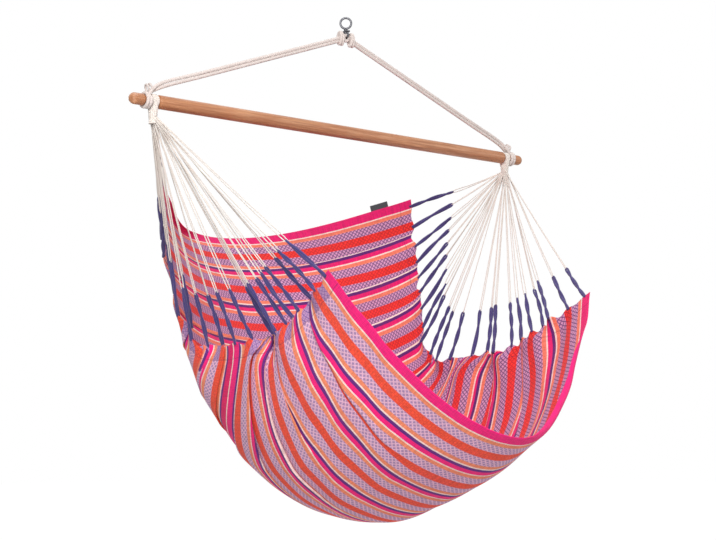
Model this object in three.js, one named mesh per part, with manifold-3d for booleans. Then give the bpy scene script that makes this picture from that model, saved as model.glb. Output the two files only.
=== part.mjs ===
// Hammock chair: a cloth seat hung by two fans of cords from a turned spreader bar, a rope
// over the bar, and a swivel hanger at the top. Millimetres, +Z up, X along the bar, the
// sitter faces -Y. The origin is the point inside the upper eye where a ceiling hook bears.
import * as THREE from 'three';
import { mergeVertices } from 'three/addons/utils/BufferGeometryUtils.js';
import Module from 'manifold-3d';

const wasm = await Module();
wasm.setup();

// Clearances
const touchGap = 0.35; // between two pieces that bear on each other
const wrapGap = 0.45; // a rope or cord turn round the wood it grips
const overrun = 2; // how far a cutting solid passes a face
const weldReach = 1e-4; // corners this near to each other are one

// Swivel hanger
const eyeWire = 5.4;
const eyeInnerRadius = 11;
const eyeFacing = THREE.MathUtils.degToRad(-42);
const stemRadius = 3.5;
const stemReach = 6; // from the middle of the eye's wire to the crown
const rivetRadius = 4.6;
const rivetHeight = 2.5;
const crownThickness = 4;
const crownWidth = 30;
const crownDepth = 11;
const bowWire = 4.5;
const bowHalfWidth = 8.6;
const bowClearance = 0.8; // how much taller the opening is than the rope

// Suspension rope
const ropeDiameter = 8.5;
const ropeSides = 8;
const apexSpread = 7.2; // distance between the two strands at the top
const barSpread = 8.8; // and at the bar
const whippingHeight = 38;
const whippingDepth = 21;
const whippingLength = 13;
const legRise = 26; // rope centre above the bar axis at the bar end
const ropeLumpRadius = 9;

// Spreader bar
const barDrop = 291; // bar axis below the origin
const barLength = 1300;
const barRadius = 16;
const barNeckRadius = 11;
const barKnobRadius = 13.5;
const barKnobLength = 37; // from the neck to the bar's end
const barSides = 24;
const neckInnerRoom = 3.25; // between the inner shoulder and the gather eye's band
const neckMiddleRoom = 5.75; // between that band and the rope ring
const neckOuterRoom = 5.25; // between the rope ring and the end knob

// Gather eyes
const gatherWidth = 16;
const gatherThickness = 8;
const neckLength = 23;
const neckTopRadius = 11;
const neckFootRadius = 9.5;

// Cord fans and fringe loops
const loopCount = 22; // on each side of the cloth
const throatLength = 12;
const throatFootRadius = 7.5;
const strandRadius = 1.6;
const strandSides = 5;
const strandOriginDrop = 6; // below the top of the throat
const strandRow = 11; // width over which the strands leave the throat
const loopLength = 122;
const loopWidth = 9;
const loopThickness = 5;
const loopSeat = 0.6; // loop end to cloth edge

// Cloth
const clothHalfWidth = 428;
const clothReach = 600;
const seatDrop = 965; // lowest cloth below the bar axis
const clothThickness = 3;
const clothCellsAcross = 22;
const clothCellsDown = 26;
const foldDepth = 38; // of the deepest fold, at the end edge
const foldWidthShare = 0.03; // half width of a fold's valley, as a share of the cut depth

// Label
const labelWidth = 50;
const labelHeight = 22;
const labelThickness = 1.6;
const labelProud = 6; // how far it stands above the selvedge
const labelPlaceShare = 0.71;

// Places along the bar, from its middle, worked out inwards from its end
const shoulderLip = (barKnobRadius - barNeckRadius) / 2;
const barNeckOuter = barLength / 2 - barKnobLength;
const ropeRingPlace = barNeckOuter - neckOuterRoom - ropeDiameter / 2;
const gatherPlace = ropeRingPlace - ropeDiameter / 2 - neckMiddleRoom - gatherWidth / 2;
const barNeckInner = gatherPlace - gatherWidth / 2 - neckInnerRoom - shoulderLip;

// Step used to measure the cloth's slope, as a share of its width and depth
const slopeShare = 1e-3;

// The hung cloth from the back selvedge (first row) to the front one (last row), in even
// steps of its cut depth. Each row gives the end of a stripe and its middle. Widths are
// shares of clothHalfWidth, depths of clothReach (+ is back) and heights of seatDrop.
const clothShares = [
  { endX: 0.98, endY: 0.34, endZ: 0.11, midY: 0.93, midZ: 0.225, roundY: 2.0, roundZ: 2.6, belly: -0.12 },
  { endX: 1.0, endY: 0.32, endZ: 0.235, midY: 0.73, midZ: 0.36, roundY: 1.9, roundZ: 2.7, belly: -0.12 },
  { endX: 1.0, endY: 0.3, endZ: 0.335, midY: 0.57, midZ: 0.505, roundY: 1.9, roundZ: 2.7, belly: -0.08 },
  { endX: 0.98, endY: 0.26, endZ: 0.435, midY: 0.4, midZ: 0.665, roundY: 2.1, roundZ: 2.4, belly: 0.05 },
  { endX: 0.965, endY: 0.2, endZ: 0.53, midY: 0.28, midZ: 0.83, roundY: 2.5, roundZ: 2.1, belly: 0.22 },
  { endX: 0.91, endY: 0.06, endZ: 0.57, midY: 0.07, midZ: 0.975, roundY: 2.7, roundZ: 1.9, belly: 0.35 },
  { endX: 0.92, endY: -0.17, endZ: 0.56, midY: -0.24, midZ: 1.0, roundY: 2.4, roundZ: 1.75, belly: 0.38 },
  { endX: 0.92, endY: -0.33, endZ: 0.545, midY: -0.46, midZ: 0.965, roundY: 2.1, roundZ: 1.6, belly: 0.38 },
  { endX: 0.935, endY: -0.45, endZ: 0.515, midY: -0.67, midZ: 0.915, roundY: 1.9, roundZ: 1.6, belly: 0.32 },
  { endX: 0.97, endY: -0.56, endZ: 0.48, midY: -0.84, midZ: 0.855, roundY: 1.6, roundZ: 1.75, belly: 0.14 },
  { endX: 1.0, endY: -0.72, endZ: 0.42, midY: -1.0, midZ: 0.79, roundY: 1.5, roundZ: 1.95, belly: 0.02 },
];

// The main folds, each a valley that starts at the gathered end edges and dies away
// towards the middle. Places are shares of the cut depth, depths of foldDepth, and
// reaches of the half width.
const foldShares = [
  { place: 0.115, depth: 0.35, reach: 0.5 },
  { place: 0.269, depth: 0.5, reach: 0.6 },
  { place: 0.385, depth: 0.85, reach: 0.5 },
  { place: 0.5, depth: 0.7, reach: 0.7 },
  { place: 0.654, depth: 1, reach: 0.85 },
  { place: 0.769, depth: 0.5, reach: 0.6 },
  { place: 0.885, depth: 0.75, reach: 0.55 },
];

// Materials
const finish = (color, roughness, metalness = 0) =>
  new THREE.MeshStandardMaterial({ color, roughness, metalness });
const steelFinish = () => finish(0x55565a, 0.35, 0.9);
const ropeFinish = () => finish(0xe6d6cf, 0.9);
const cordFinish = () => finish(0xf2ebe4, 0.85);
const woodFinish = () => finish(0xc4834f, 0.5);
const fringeFinish = () => finish(0x403a72, 0.9);
const clothFinish = () => finish(0xe0487a, 0.95);
const labelFinish = () => finish(0x4a4a4e, 0.9);

// Geometry helpers
function toSolid(geometry) {
  const bare = geometry.clone();
  bare.deleteAttribute('normal');
  bare.deleteAttribute('uv');
  const merged = mergeVertices(bare, weldReach);
  const mesh = new wasm.Mesh({
    numProp: 3,
    vertProperties: new Float32Array(merged.attributes.position.array),
    triVerts: new Uint32Array(merged.index.array),
  });
  mesh.merge();
  return new wasm.Manifold(mesh);
}

function toGeometry(solid) {
  const mesh = solid.getMesh();
  const geometry = new THREE.BufferGeometry();
  geometry.setAttribute('position', new THREE.BufferAttribute(mesh.vertProperties, 3));
  geometry.setIndex(new THREE.BufferAttribute(mesh.triVerts, 1));
  return geometry;
}

function join(geometries) {
  const solids = geometries.map(toSolid);
  return toGeometry(solids.reduce((whole, next) => whole.add(next)));
}

function cut(geometry, tool) {
  return toGeometry(toSolid(geometry).subtract(toSolid(tool)));
}

function circleShape(radius, sides) {
  const corners = [];
  for (let i = 0; i < sides; i += 1) {
    const turn = (2 * Math.PI * i) / sides;
    corners.push(new THREE.Vector2(radius * Math.cos(turn), radius * Math.sin(turn)));
  }
  return new THREE.Shape(corners);
}

function rod(from, to, radius, sides) {
  const path = new THREE.LineCurve3(from, to);
  return new THREE.ExtrudeGeometry(circleShape(radius, sides), {
    steps: 1,
    extrudePath: path,
    bevelEnabled: false,
  });
}

// A turned body about Z from [radius, height] pairs.
function turned(profile, sides) {
  const points = profile.map(([radius, height]) => new THREE.Vector2(radius, height));
  return new THREE.LatheGeometry(points, sides).rotateX(Math.PI / 2);
}

// A band that rings the X axis, with an oval section.
function bandAboutX(innerRadius, width, thickness, sides) {
  const sectionSteps = 10;
  const middle = innerRadius + thickness / 2;
  const profile = [];
  for (let i = 0; i <= sectionSteps; i += 1) {
    const turn = (2 * Math.PI * (i % sectionSteps)) / sectionSteps;
    const radius = middle + (thickness / 2) * Math.cos(turn);
    profile.push(new THREE.Vector2(radius, (width / 2) * Math.sin(turn)));
  }
  return new THREE.LatheGeometry(profile, sides).rotateZ(Math.PI / 2);
}

const chair = new THREE.Group();

function addPiece(name, geometry, material, place = [0, 0, 0]) {
  const mesh = new THREE.Mesh(geometry, material);
  mesh.name = name;
  mesh.position.set(...place);
  chair.add(mesh);
  return mesh;
}

// Heights of the hanger, worked out downwards from the eye
const eyeCentreZ = -eyeInnerRadius;
const eyeRadius = eyeInnerRadius + eyeWire / 2;
const eyeFootZ = eyeCentreZ - eyeRadius;
const crownTopZ = eyeFootZ - stemReach;
const crownFootZ = crownTopZ - crownThickness;
const rivetTopZ = crownFootZ - touchGap;
const rivetFootZ = rivetTopZ - rivetHeight;
const bowWireZ = rivetFootZ - bowClearance - ropeDiameter - touchGap - bowWire / 2;
const hitchRadius = bowWire / 2 + touchGap + ropeDiameter / 2;

// The upper eye with the stem that the bow turns on.
function swivelEye() {
  const ring = new THREE.TorusGeometry(eyeRadius, eyeWire / 2, 10, 28);
  ring.rotateX(Math.PI / 2).rotateZ(eyeFacing).translate(0, 0, eyeCentreZ);
  const stem = turned(
    [
      [0, rivetFootZ],
      [rivetRadius, rivetFootZ],
      [rivetRadius, rivetTopZ],
      [stemRadius, rivetTopZ],
      [stemRadius, eyeFootZ],
      [0, eyeFootZ],
    ],
    16,
  );
  return join([ring, stem]);
}

// The lower bow: a crown that the stem passes through and a U of wire for the rope.
function swivelBow() {
  const crown = new THREE.CylinderGeometry(crownDepth / 2, crownDepth / 2, crownThickness, 16);
  crown.rotateX(Math.PI / 2).scale(1, crownWidth / crownDepth, 1);
  crown.translate(0, 0, (crownTopZ + crownFootZ) / 2);
  const kneeZ = bowWireZ + bowHalfWidth;
  const path = new THREE.CurvePath();
  path.add(new THREE.LineCurve3(
    new THREE.Vector3(0, -bowHalfWidth, crownFootZ + crownThickness / 2),
    new THREE.Vector3(0, -bowHalfWidth, kneeZ),
  ));
  const bend = [];
  const bendSteps = 10;
  for (let i = 0; i <= bendSteps; i += 1) {
    const turn = Math.PI + (Math.PI * i) / bendSteps;
    const across = bowHalfWidth * Math.cos(turn);
    bend.push(new THREE.Vector3(0, across, kneeZ + bowHalfWidth * Math.sin(turn)));
  }
  path.add(new THREE.CatmullRomCurve3(bend));
  path.add(new THREE.LineCurve3(
    new THREE.Vector3(0, bowHalfWidth, kneeZ),
    new THREE.Vector3(0, bowHalfWidth, crownFootZ + crownThickness / 2),
  ));
  const wire = new THREE.ExtrudeGeometry(circleShape(bowWire / 2, 8), {
    steps: 24,
    extrudePath: path,
    bevelEnabled: false,
  });
  const boreRadius = stemRadius + touchGap;
  const bore = turned(
    [
      [0, crownFootZ - overrun],
      [boreRadius, crownFootZ - overrun],
      [boreRadius, crownTopZ + overrun],
      [0, crownTopZ + overrun],
    ],
    16,
  );
  return cut(join([crown, wire]), bore);
}

addPiece('swivel_eye', swivelEye(), steelFinish());
addPiece('swivel_bow', swivelBow(), steelFinish());

// The rope hitch that rides on the bow wire.
const hitch = new THREE.TorusGeometry(hitchRadius, ropeDiameter / 2, 10, 18).rotateX(Math.PI / 2);
addPiece('rope_hitch', hitch, ropeFinish(), [0, 0, bowWireZ]);

// Rope legs: from the whipping beside the hitch to the bar end
const legTop = new THREE.Vector3(
  hitchRadius + ropeDiameter / 2 + touchGap,
  0,
  bowWireZ - ropeDiameter / 3,
);
const legFoot = new THREE.Vector3(ropeRingPlace, 0, -barDrop + legRise);
const legAlong = legFoot.clone().sub(legTop).normalize();
const legAcross = new THREE.Vector3(-legAlong.z, 0, legAlong.x);

// A bound sleeve, an upright oval barrel whose inner end just clears the hitch.
function whipping(side) {
  const half = whippingLength / 2;
  const endShare = 0.72;
  const fullShare = 0.5;
  const profile = [
    [0, -half],
    [endShare, -half],
    [1, -half * fullShare],
    [1, half * fullShare],
    [endShare, half],
    [0, half],
  ];
  const sleeve = turned(profile, 16);
  sleeve.scale(whippingHeight / 2, whippingDepth / 2, 1).rotateY(Math.PI / 2);
  return sleeve.translate(side * (legTop.x + half), 0, legTop.z);
}

const mirrored = (point, side) => new THREE.Vector3(point.x * side, point.y, point.z);

// One side of the rope: two strands, the lump where they close, and the ring on the bar.
function ropeLeg(side) {
  const cutSlant = ((apexSpread + ropeDiameter) / 2) * Math.abs(legAcross.x);
  const startReach = (whippingLength + touchGap + cutSlant) / legAlong.x;
  const start = legTop.clone().addScaledVector(legAlong, startReach);
  const strands = [-1, 1].map((half) => {
    const from = start.clone().addScaledVector(legAcross, (half * apexSpread) / 2);
    const to = legFoot.clone().addScaledVector(legAcross, (half * barSpread) / 2);
    return rod(mirrored(from, side), mirrored(to, side), ropeDiameter / 2, ropeSides);
  });
  const lump = new THREE.SphereGeometry(ropeLumpRadius, 12, 8);
  lump.scale(1, 1, (legRise - barNeckRadius) / ropeLumpRadius);
  lump.translate(side * ropeRingPlace, 0, -barDrop + legRise);
  const ring = bandAboutX(barNeckRadius + wrapGap, ropeDiameter, ropeDiameter, 20);
  ring.translate(side * ropeRingPlace, 0, -barDrop);
  const neckBore = new THREE.CylinderGeometry(
    barNeckRadius + wrapGap,
    barNeckRadius + wrapGap,
    2 * (ropeLumpRadius + overrun),
    20,
  );
  neckBore.rotateZ(Math.PI / 2).translate(side * ropeRingPlace, 0, -barDrop);
  return cut(join([...strands, lump, ring]), neckBore);
}

// The turned bar: two shoulders, two necks and a round knob at each end.
function spreaderBar() {
  const half = barLength / 2;
  const profile = [[0, -half]];
  const knobSteps = 5;
  const knobCentre = half - barKnobRadius;
  for (let i = 1; i <= knobSteps; i += 1) {
    const turn = (i / knobSteps) * (Math.PI / 2);
    profile.push([barKnobRadius * Math.sin(turn), -knobCentre - barKnobRadius * Math.cos(turn)]);
  }
  profile.push([barKnobRadius, -barNeckOuter - shoulderLip]);
  profile.push([barNeckRadius, -barNeckOuter]);
  profile.push([barNeckRadius, -barNeckInner - shoulderLip]);
  profile.push([barRadius, -barNeckInner + shoulderLip]);
  const mirror = profile.map(([radius, along]) => [radius, -along]).reverse();
  return turned([...profile, ...mirror], barSides).rotateY(Math.PI / 2);
}

addPiece('spreader_bar', spreaderBar(), woodFinish(), [0, 0, -barDrop]);

// The end of the fan's throat nearest the bar, on one side
const neckTopZ = -barDrop - barNeckRadius - wrapGap - gatherThickness / 2;
const neckFootZ = neckTopZ - neckLength;
const throatTopZ = neckFootZ - touchGap;
const strandOrigin = (side) =>
  new THREE.Vector3(side * gatherPlace, 0, throatTopZ - strandOriginDrop);

// The eye that the cord fan is bound into: a flat band round the bar and a bound neck.
function gatherEye(side) {
  const band = bandAboutX(barNeckRadius + wrapGap, gatherWidth, gatherThickness, 20);
  band.translate(side * gatherPlace, 0, -barDrop);
  const neck = turned(
    [
      [0, neckFootZ],
      [neckFootRadius, neckFootZ],
      [neckTopRadius, neckTopZ],
      [0, neckTopZ],
    ],
    16,
  );
  neck.translate(side * gatherPlace, 0, 0);
  return join([band, neck]);
}

// Smooth blend of one column of the shares at depth v, from 0 at the back to 1 at the front.
function clothShare(column, v) {
  const last = clothShares.length - 1;
  const along = Math.min(Math.max(v, 0), 1) * last;
  const row = Math.min(Math.floor(along), last - 1);
  const t = along - row;
  const at = (i) => clothShares[Math.min(Math.max(i, 0), last)][column];
  const [a, b, c, d] = [at(row - 1), at(row), at(row + 1), at(row + 2)];
  const slopeIn = (c - a) / 2;
  const slopeOut = (d - b) / 2;
  const t2 = t * t;
  const t3 = t2 * t;
  return (2 * t3 - 3 * t2 + 1) * b + (t3 - 2 * t2 + t) * slopeIn
    + (3 * t2 - 2 * t3) * c + (t3 - t2) * slopeOut;
}

// The middle surface of the cloth with no folds. u runs from -1 at the left end to 1 at
// the right end, v from 0 at the back selvedge to 1 at the front one.
function clothSweep(u, v) {
  const x = Math.sin((u * Math.PI) / 2);
  const sagY = 1 - Math.abs(x) ** clothShare('roundY', v);
  const sagZ = 1 - Math.abs(x) ** clothShare('roundZ', v);
  const wide = x + clothShare('belly', v) * x * (1 - x * x);
  const endY = clothShare('endY', v);
  const endZ = clothShare('endZ', v);
  return new THREE.Vector3(
    clothHalfWidth * clothShare('endX', v) * wide,
    clothReach * (endY + (clothShare('midY', v) - endY) * sagY),
    -barDrop - seatDrop * (endZ + (clothShare('midZ', v) - endZ) * sagZ),
  );
}

// The outward direction of the sweep.
function clothOutward(u, v) {
  const uLow = Math.max(u - slopeShare, -1 + slopeShare / 2);
  const uHigh = Math.min(u + slopeShare, 1 - slopeShare / 2);
  const vLow = Math.max(v - slopeShare, 0);
  const vHigh = Math.min(v + slopeShare, 1);
  const alongU = clothSweep(uHigh, v).sub(clothSweep(uLow, v));
  const alongV = clothSweep(u, vHigh).sub(clothSweep(u, vLow));
  return alongU.cross(alongV).normalize();
}

// How far the folds draw the cloth in towards the sitter.
function foldInset(u, v) {
  return foldShares.reduce((total, { place, depth, reach }) => {
    const along = Math.max(0, (Math.abs(u) - 1 + reach) / reach);
    const across = (v - place) / foldWidthShare;
    return total + foldDepth * depth * along ** 1.5 * Math.exp(-across * across);
  }, 0);
}

function clothPoint(u, v, lift = 0) {
  const away = lift - foldInset(u, v);
  return clothSweep(u, v).addScaledVector(clothOutward(u, v), away);
}

// The cloth as one thin closed solid.
function seatCloth() {
  const columns = clothCellsAcross + 1;
  const rows = clothCellsDown + 1;
  const points = [];
  for (const lift of [clothThickness / 2, -clothThickness / 2]) {
    for (let j = 0; j < rows; j += 1) {
      for (let i = 0; i < columns; i += 1) {
        const u = (2 * i) / clothCellsAcross - 1;
        points.push(...clothPoint(u, j / clothCellsDown, lift).toArray());
      }
    }
  }
  const outer = (i, j) => j * columns + i;
  const inner = (i, j) => rows * columns + j * columns + i;
  const faces = [];
  const quad = (a, b, c, d) => faces.push(a, b, c, a, c, d);
  for (let j = 0; j < clothCellsDown; j += 1) {
    for (let i = 0; i < clothCellsAcross; i += 1) {
      quad(outer(i, j), outer(i + 1, j), outer(i + 1, j + 1), outer(i, j + 1));
      quad(inner(i, j), inner(i, j + 1), inner(i + 1, j + 1), inner(i + 1, j));
    }
  }
  for (let i = 0; i < clothCellsAcross; i += 1) {
    quad(outer(i, 0), inner(i, 0), inner(i + 1, 0), outer(i + 1, 0));
    quad(outer(i + 1, rows - 1), inner(i + 1, rows - 1), inner(i, rows - 1), outer(i, rows - 1));
  }
  for (let j = 0; j < clothCellsDown; j += 1) {
    quad(outer(0, j + 1), inner(0, j + 1), inner(0, j), outer(0, j));
    quad(outer(columns - 1, j), inner(columns - 1, j), inner(columns - 1, j + 1), outer(columns - 1, j + 1));
  }
  const geometry = new THREE.BufferGeometry();
  geometry.setAttribute('position', new THREE.Float32BufferAttribute(points, 3));
  geometry.setIndex(faces);
  return geometry;
}

addPiece('seat_cloth', seatCloth(), clothFinish());

// Where loop k meets the end edge of the cloth, on one of the edge's straight facets.
function loopSeatPoint(side, k) {
  const along = ((k + 0.5) / loopCount) * clothCellsDown;
  const cell = Math.floor(along);
  const before = clothPoint(side, cell / clothCellsDown);
  return before.lerp(clothPoint(side, (cell + 1) / clothCellsDown), along - cell);
}

// The two ends of loop k: its foot just off the cloth and its tip towards the fan.
function loopEnds(side, k) {
  const seat = loopSeatPoint(side, k);
  const towards = strandOrigin(side).sub(seat).normalize();
  const foot = seat.clone().addScaledVector(towards, clothThickness / 2 + loopSeat);
  const tip = foot.clone().addScaledVector(towards, loopLength);
  return { foot, tip, towards };
}

// A fringe loop: a twisted flat bundle, thick in its lower half and slim at its tip.
function fringeLoop(side, k) {
  const { foot, tip, towards } = loopEnds(side, k);
  const sides = 6;
  const widthShares = [0.5, 0.95, 1.0, 0.8, 1.0, 0.85, 0.4];
  const quarterTurns = 2;
  const across = new THREE.Vector3(0, 1, 0).cross(towards).normalize();
  const through = towards.clone().cross(across);
  const points = [];
  const last = widthShares.length - 1;
  widthShares.forEach((share, ring) => {
    const middle = foot.clone().lerp(tip, ring / last);
    const twist = (quarterTurns * (Math.PI / 2) * ring) / last;
    for (let s = 0; s < sides; s += 1) {
      const turn = (2 * Math.PI * s) / sides;
      const wide = (loopWidth / 2) * share * Math.cos(turn);
      const thick = (loopThickness / 2) * share * Math.sin(turn);
      const point = middle.clone()
        .addScaledVector(across, wide * Math.cos(twist) - thick * Math.sin(twist))
        .addScaledVector(through, wide * Math.sin(twist) + thick * Math.cos(twist));
      points.push(...point.toArray());
    }
  });
  const faces = [];
  for (let ring = 0; ring < last; ring += 1) {
    for (let s = 0; s < sides; s += 1) {
      const here = ring * sides + s;
      const next = ring * sides + ((s + 1) % sides);
      faces.push(here, next, next + sides, here, next + sides, here + sides);
    }
  }
  for (let s = 1; s < sides - 1; s += 1) {
    faces.push(0, s + 1, s);
    faces.push(last * sides, last * sides + s, last * sides + s + 1);
  }
  const geometry = new THREE.BufferGeometry();
  geometry.setAttribute('position', new THREE.Float32BufferAttribute(points, 3));
  geometry.setIndex(faces);
  return geometry;
}

// The fan of cords between the gather eye and the tips of the loops.
function cordFan(side) {
  const throat = turned(
    [
      [0, throatTopZ - throatLength],
      [throatFootRadius, throatTopZ - throatLength],
      [neckFootRadius, throatTopZ],
      [0, throatTopZ],
    ],
    12,
  );
  throat.translate(side * gatherPlace, 0, 0);
  const pieces = [throat];
  for (let k = 0; k < loopCount; k += 1) {
    const { tip, towards } = loopEnds(side, k);
    const from = strandOrigin(side);
    from.y += strandRow * (0.5 - k / (loopCount - 1));
    const to = tip.clone().addScaledVector(towards, touchGap);
    pieces.push(rod(from, to, strandRadius, strandSides));
  }
  return join(pieces);
}

// A plain folded tab sewn to the back of the back selvedge, near the right end.
function label() {
  const tab = new THREE.BoxGeometry(labelWidth, labelHeight, labelThickness);
  const middle = (labelProud - labelHeight / 2);
  const u = labelPlaceShare;
  const backLift = clothThickness / 2 + touchGap * 2 + labelThickness / 2;
  const outward = clothOutward(u, 0);
  const down = clothSweep(u, slopeShare).sub(clothSweep(u, 0)).normalize();
  const along = new THREE.Vector3().crossVectors(outward, down).negate().normalize();
  const up = new THREE.Vector3().crossVectors(outward, along).normalize();
  const frame = new THREE.Matrix4().makeBasis(along, up, outward);
  const place = clothSweep(u, 0).addScaledVector(outward, backLift).addScaledVector(up, middle);
  return tab.applyMatrix4(frame).translate(place.x, place.y, place.z);
}

addPiece('label', label(), labelFinish());

for (const [sideName, side] of [['left', -1], ['right', 1]]) {
  addPiece(`rope_whipping_${sideName}`, whipping(side), ropeFinish());
  addPiece(`rope_${sideName}`, ropeLeg(side), ropeFinish());
  addPiece(`gather_eye_${sideName}`, gatherEye(side), cordFinish());
  addPiece(`cord_fan_${sideName}`, cordFan(side), cordFinish());
  for (let k = 0; k < loopCount; k += 1) {
    const number = String(k + 1).padStart(2, '0');
    addPiece(`fringe_loop_${sideName}_${number}`, fringeLoop(side, k), fringeFinish());
  }
}

export default chair;
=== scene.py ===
# %% [markdown]
# # A hammock chair
# A striped cloth seat hangs from two fans of white cords. The cords are gathered on the
# ends of a wooden bar, and a braided rope carries the bar from a swivel hanger. The hard
# pieces come ready made as the frame, and this lesson dresses them: it makes the cloth,
# the cords, the twisted fringe and every finish, each on the body that it moves with.

# %% Load the frame
import math

import bpy
import numpy as np
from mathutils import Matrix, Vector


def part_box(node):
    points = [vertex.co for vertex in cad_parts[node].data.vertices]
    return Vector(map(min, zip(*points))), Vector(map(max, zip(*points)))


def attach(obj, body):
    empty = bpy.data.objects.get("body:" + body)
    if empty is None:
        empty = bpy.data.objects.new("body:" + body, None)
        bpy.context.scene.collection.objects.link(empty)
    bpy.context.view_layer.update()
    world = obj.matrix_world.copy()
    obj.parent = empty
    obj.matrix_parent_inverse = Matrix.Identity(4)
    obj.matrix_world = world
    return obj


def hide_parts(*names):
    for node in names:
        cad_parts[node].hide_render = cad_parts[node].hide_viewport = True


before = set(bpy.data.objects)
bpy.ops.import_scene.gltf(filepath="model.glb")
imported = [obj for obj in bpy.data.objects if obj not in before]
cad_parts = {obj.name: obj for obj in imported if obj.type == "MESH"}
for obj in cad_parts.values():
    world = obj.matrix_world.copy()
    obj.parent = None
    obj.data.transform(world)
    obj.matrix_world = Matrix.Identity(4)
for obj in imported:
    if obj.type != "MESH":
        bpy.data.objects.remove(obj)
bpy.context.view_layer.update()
print("frame loaded:", len(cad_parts), "nodes")

# %% [markdown]
# ## Sizes
# Everything is in metres, with Z up and X along the bar, and the top of the hanger's eye
# at the origin. The bar's own box gives its length and height. Each other piece gives its
# sizes where it is made. They are the real object's, so a piece lands on what carries it.

# %% Sizes that several pieces share
MM = 0.001
SIDES = {"left": -1, "right": 1}
BAR_LOW, BAR_HIGH = (np.array(corner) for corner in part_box("spreader_bar"))
BAR_HALF = (BAR_HIGH[0] - BAR_LOW[0]) / 2
BAR_RADIUS = (BAR_HIGH[2] - BAR_LOW[2]) / 2
BAR_Z = (BAR_HIGH[2] + BAR_LOW[2]) / 2
BAR_NECK_RADIUS = 0.011
WRAP_GAP = 0.00045
ROPE = 0.0085
GATHER_PLACE = 0.5855
NECK_FOOT_Z = -0.32945
print("bar", round(float(2 * BAR_HALF), 3), "m long, axis at", round(float(BAR_Z), 3))

# %% [markdown]
# ## Meshes from grids
# A tube, a turned knob and a sheet of cloth are all grids of points, so one small class
# makes them all. It also keeps a texture place for every face corner. For a tube that is
# the share of the way around, and the metres along it.

# %% Shape: points, faces and texture places
class Shape:
    """A mesh in the making."""

    def __init__(self):
        self.points = []
        self.faces = []
        self.count = 0

    def add_points(self, points):
        first = self.count
        points = np.asarray(points, float).reshape(-1, 3)
        self.points.append(points)
        self.count += len(points)
        return first

    def add_faces(self, corners, places, slot=0):
        self.faces.append((np.asarray(corners, int), np.asarray(places, float), slot))

    def add_grid(self, grid, places, around=False, ring=False, slot=0, flip=False):
        """Joins rows x columns of points; around and ring close the columns and the rows."""
        rows, columns = grid.shape[:2]
        first = self.add_points(grid)
        i, j = np.meshgrid(
            np.arange(rows if ring else rows - 1),
            np.arange(columns if around else columns - 1),
            indexing="ij",
        )
        below = (i + 1) % rows
        beside = (j + 1) % columns
        corners = [i * columns + j, i * columns + beside, below * columns + beside, below * columns + j]
        spots = [places[i, j], places[i, j + 1], places[i + 1, j + 1], places[i + 1, j]]
        corners = np.stack(corners, -1).reshape(-1, 4) + first
        spots = np.stack(spots, -2).reshape(-1, 4, 2)
        if flip:
            corners = corners[:, ::-1]
            spots = spots[:, ::-1]
        self.add_faces(corners, spots, slot)
        return first

    def add_cap(self, first, count, centre, place, flip=False):
        """Closes a ring of count points with a fan round its centre."""
        middle = self.add_points([centre])
        index = np.arange(count)
        corners = np.stack([first + index, first + (index + 1) % count, np.full(count, middle)], -1)
        if flip:
            corners = corners[:, ::-1]
        self.add_faces(corners, np.tile(np.asarray(place, float), (count, 3, 1)))

    def build(self, name, *materials):
        mesh = bpy.data.meshes.new(name)
        points = np.concatenate(self.points)
        corners = np.concatenate([faces.ravel() for faces, _, _ in self.faces])
        sizes = np.concatenate([np.full(len(faces), faces.shape[1]) for faces, _, _ in self.faces])
        slots = np.concatenate([np.full(len(faces), slot) for faces, _, slot in self.faces])
        places = np.concatenate([spots.reshape(-1, 2) for _, spots, _ in self.faces])
        mesh.vertices.add(len(points))
        mesh.vertices.foreach_set("co", points.ravel())
        mesh.loops.add(len(corners))
        mesh.loops.foreach_set("vertex_index", corners)
        mesh.polygons.add(len(sizes))
        mesh.polygons.foreach_set("loop_start", np.concatenate([[0], np.cumsum(sizes)[:-1]]))
        mesh.polygons.foreach_set("material_index", slots)
        layer = mesh.uv_layers.new(name="places")
        layer.data.foreach_set("uv", places.ravel())
        mesh.update(calc_edges=True)
        mesh.shade_smooth()
        for material in materials:
            mesh.materials.append(material)
        piece = bpy.data.objects.new(name, mesh)
        bpy.context.scene.collection.objects.link(piece)
        return piece


def places_grid(rows, columns):
    """Texture places from the values down the rows and across the columns."""
    across, down = np.meshgrid(columns, rows)
    return np.stack([across, down], -1)


# %% Tubes and turned shapes
def unit(vectors):
    return vectors / np.linalg.norm(vectors, axis=-1, keepdims=True)


def arc_lengths(path):
    steps = np.linalg.norm(np.diff(path, axis=0), axis=1)
    return np.concatenate([[0], np.cumsum(steps)])


def carried_frames(path, first=None, ring=False):
    """A pair of directions square to the path at each point, carried along without twist."""
    if ring:
        tangents = unit(np.roll(path, -1, axis=0) - np.roll(path, 1, axis=0))
    else:
        tangents = unit(np.gradient(path, axis=0))
    if first is None:
        first = np.eye(3)[int(np.abs(tangents[0]).argmin())]
    across = np.empty_like(path)
    carried = np.asarray(first, float)
    for i, tangent in enumerate(tangents):
        carried = unit(carried - tangent * (carried @ tangent))
        across[i] = carried
    return across, np.cross(tangents, across)


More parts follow.
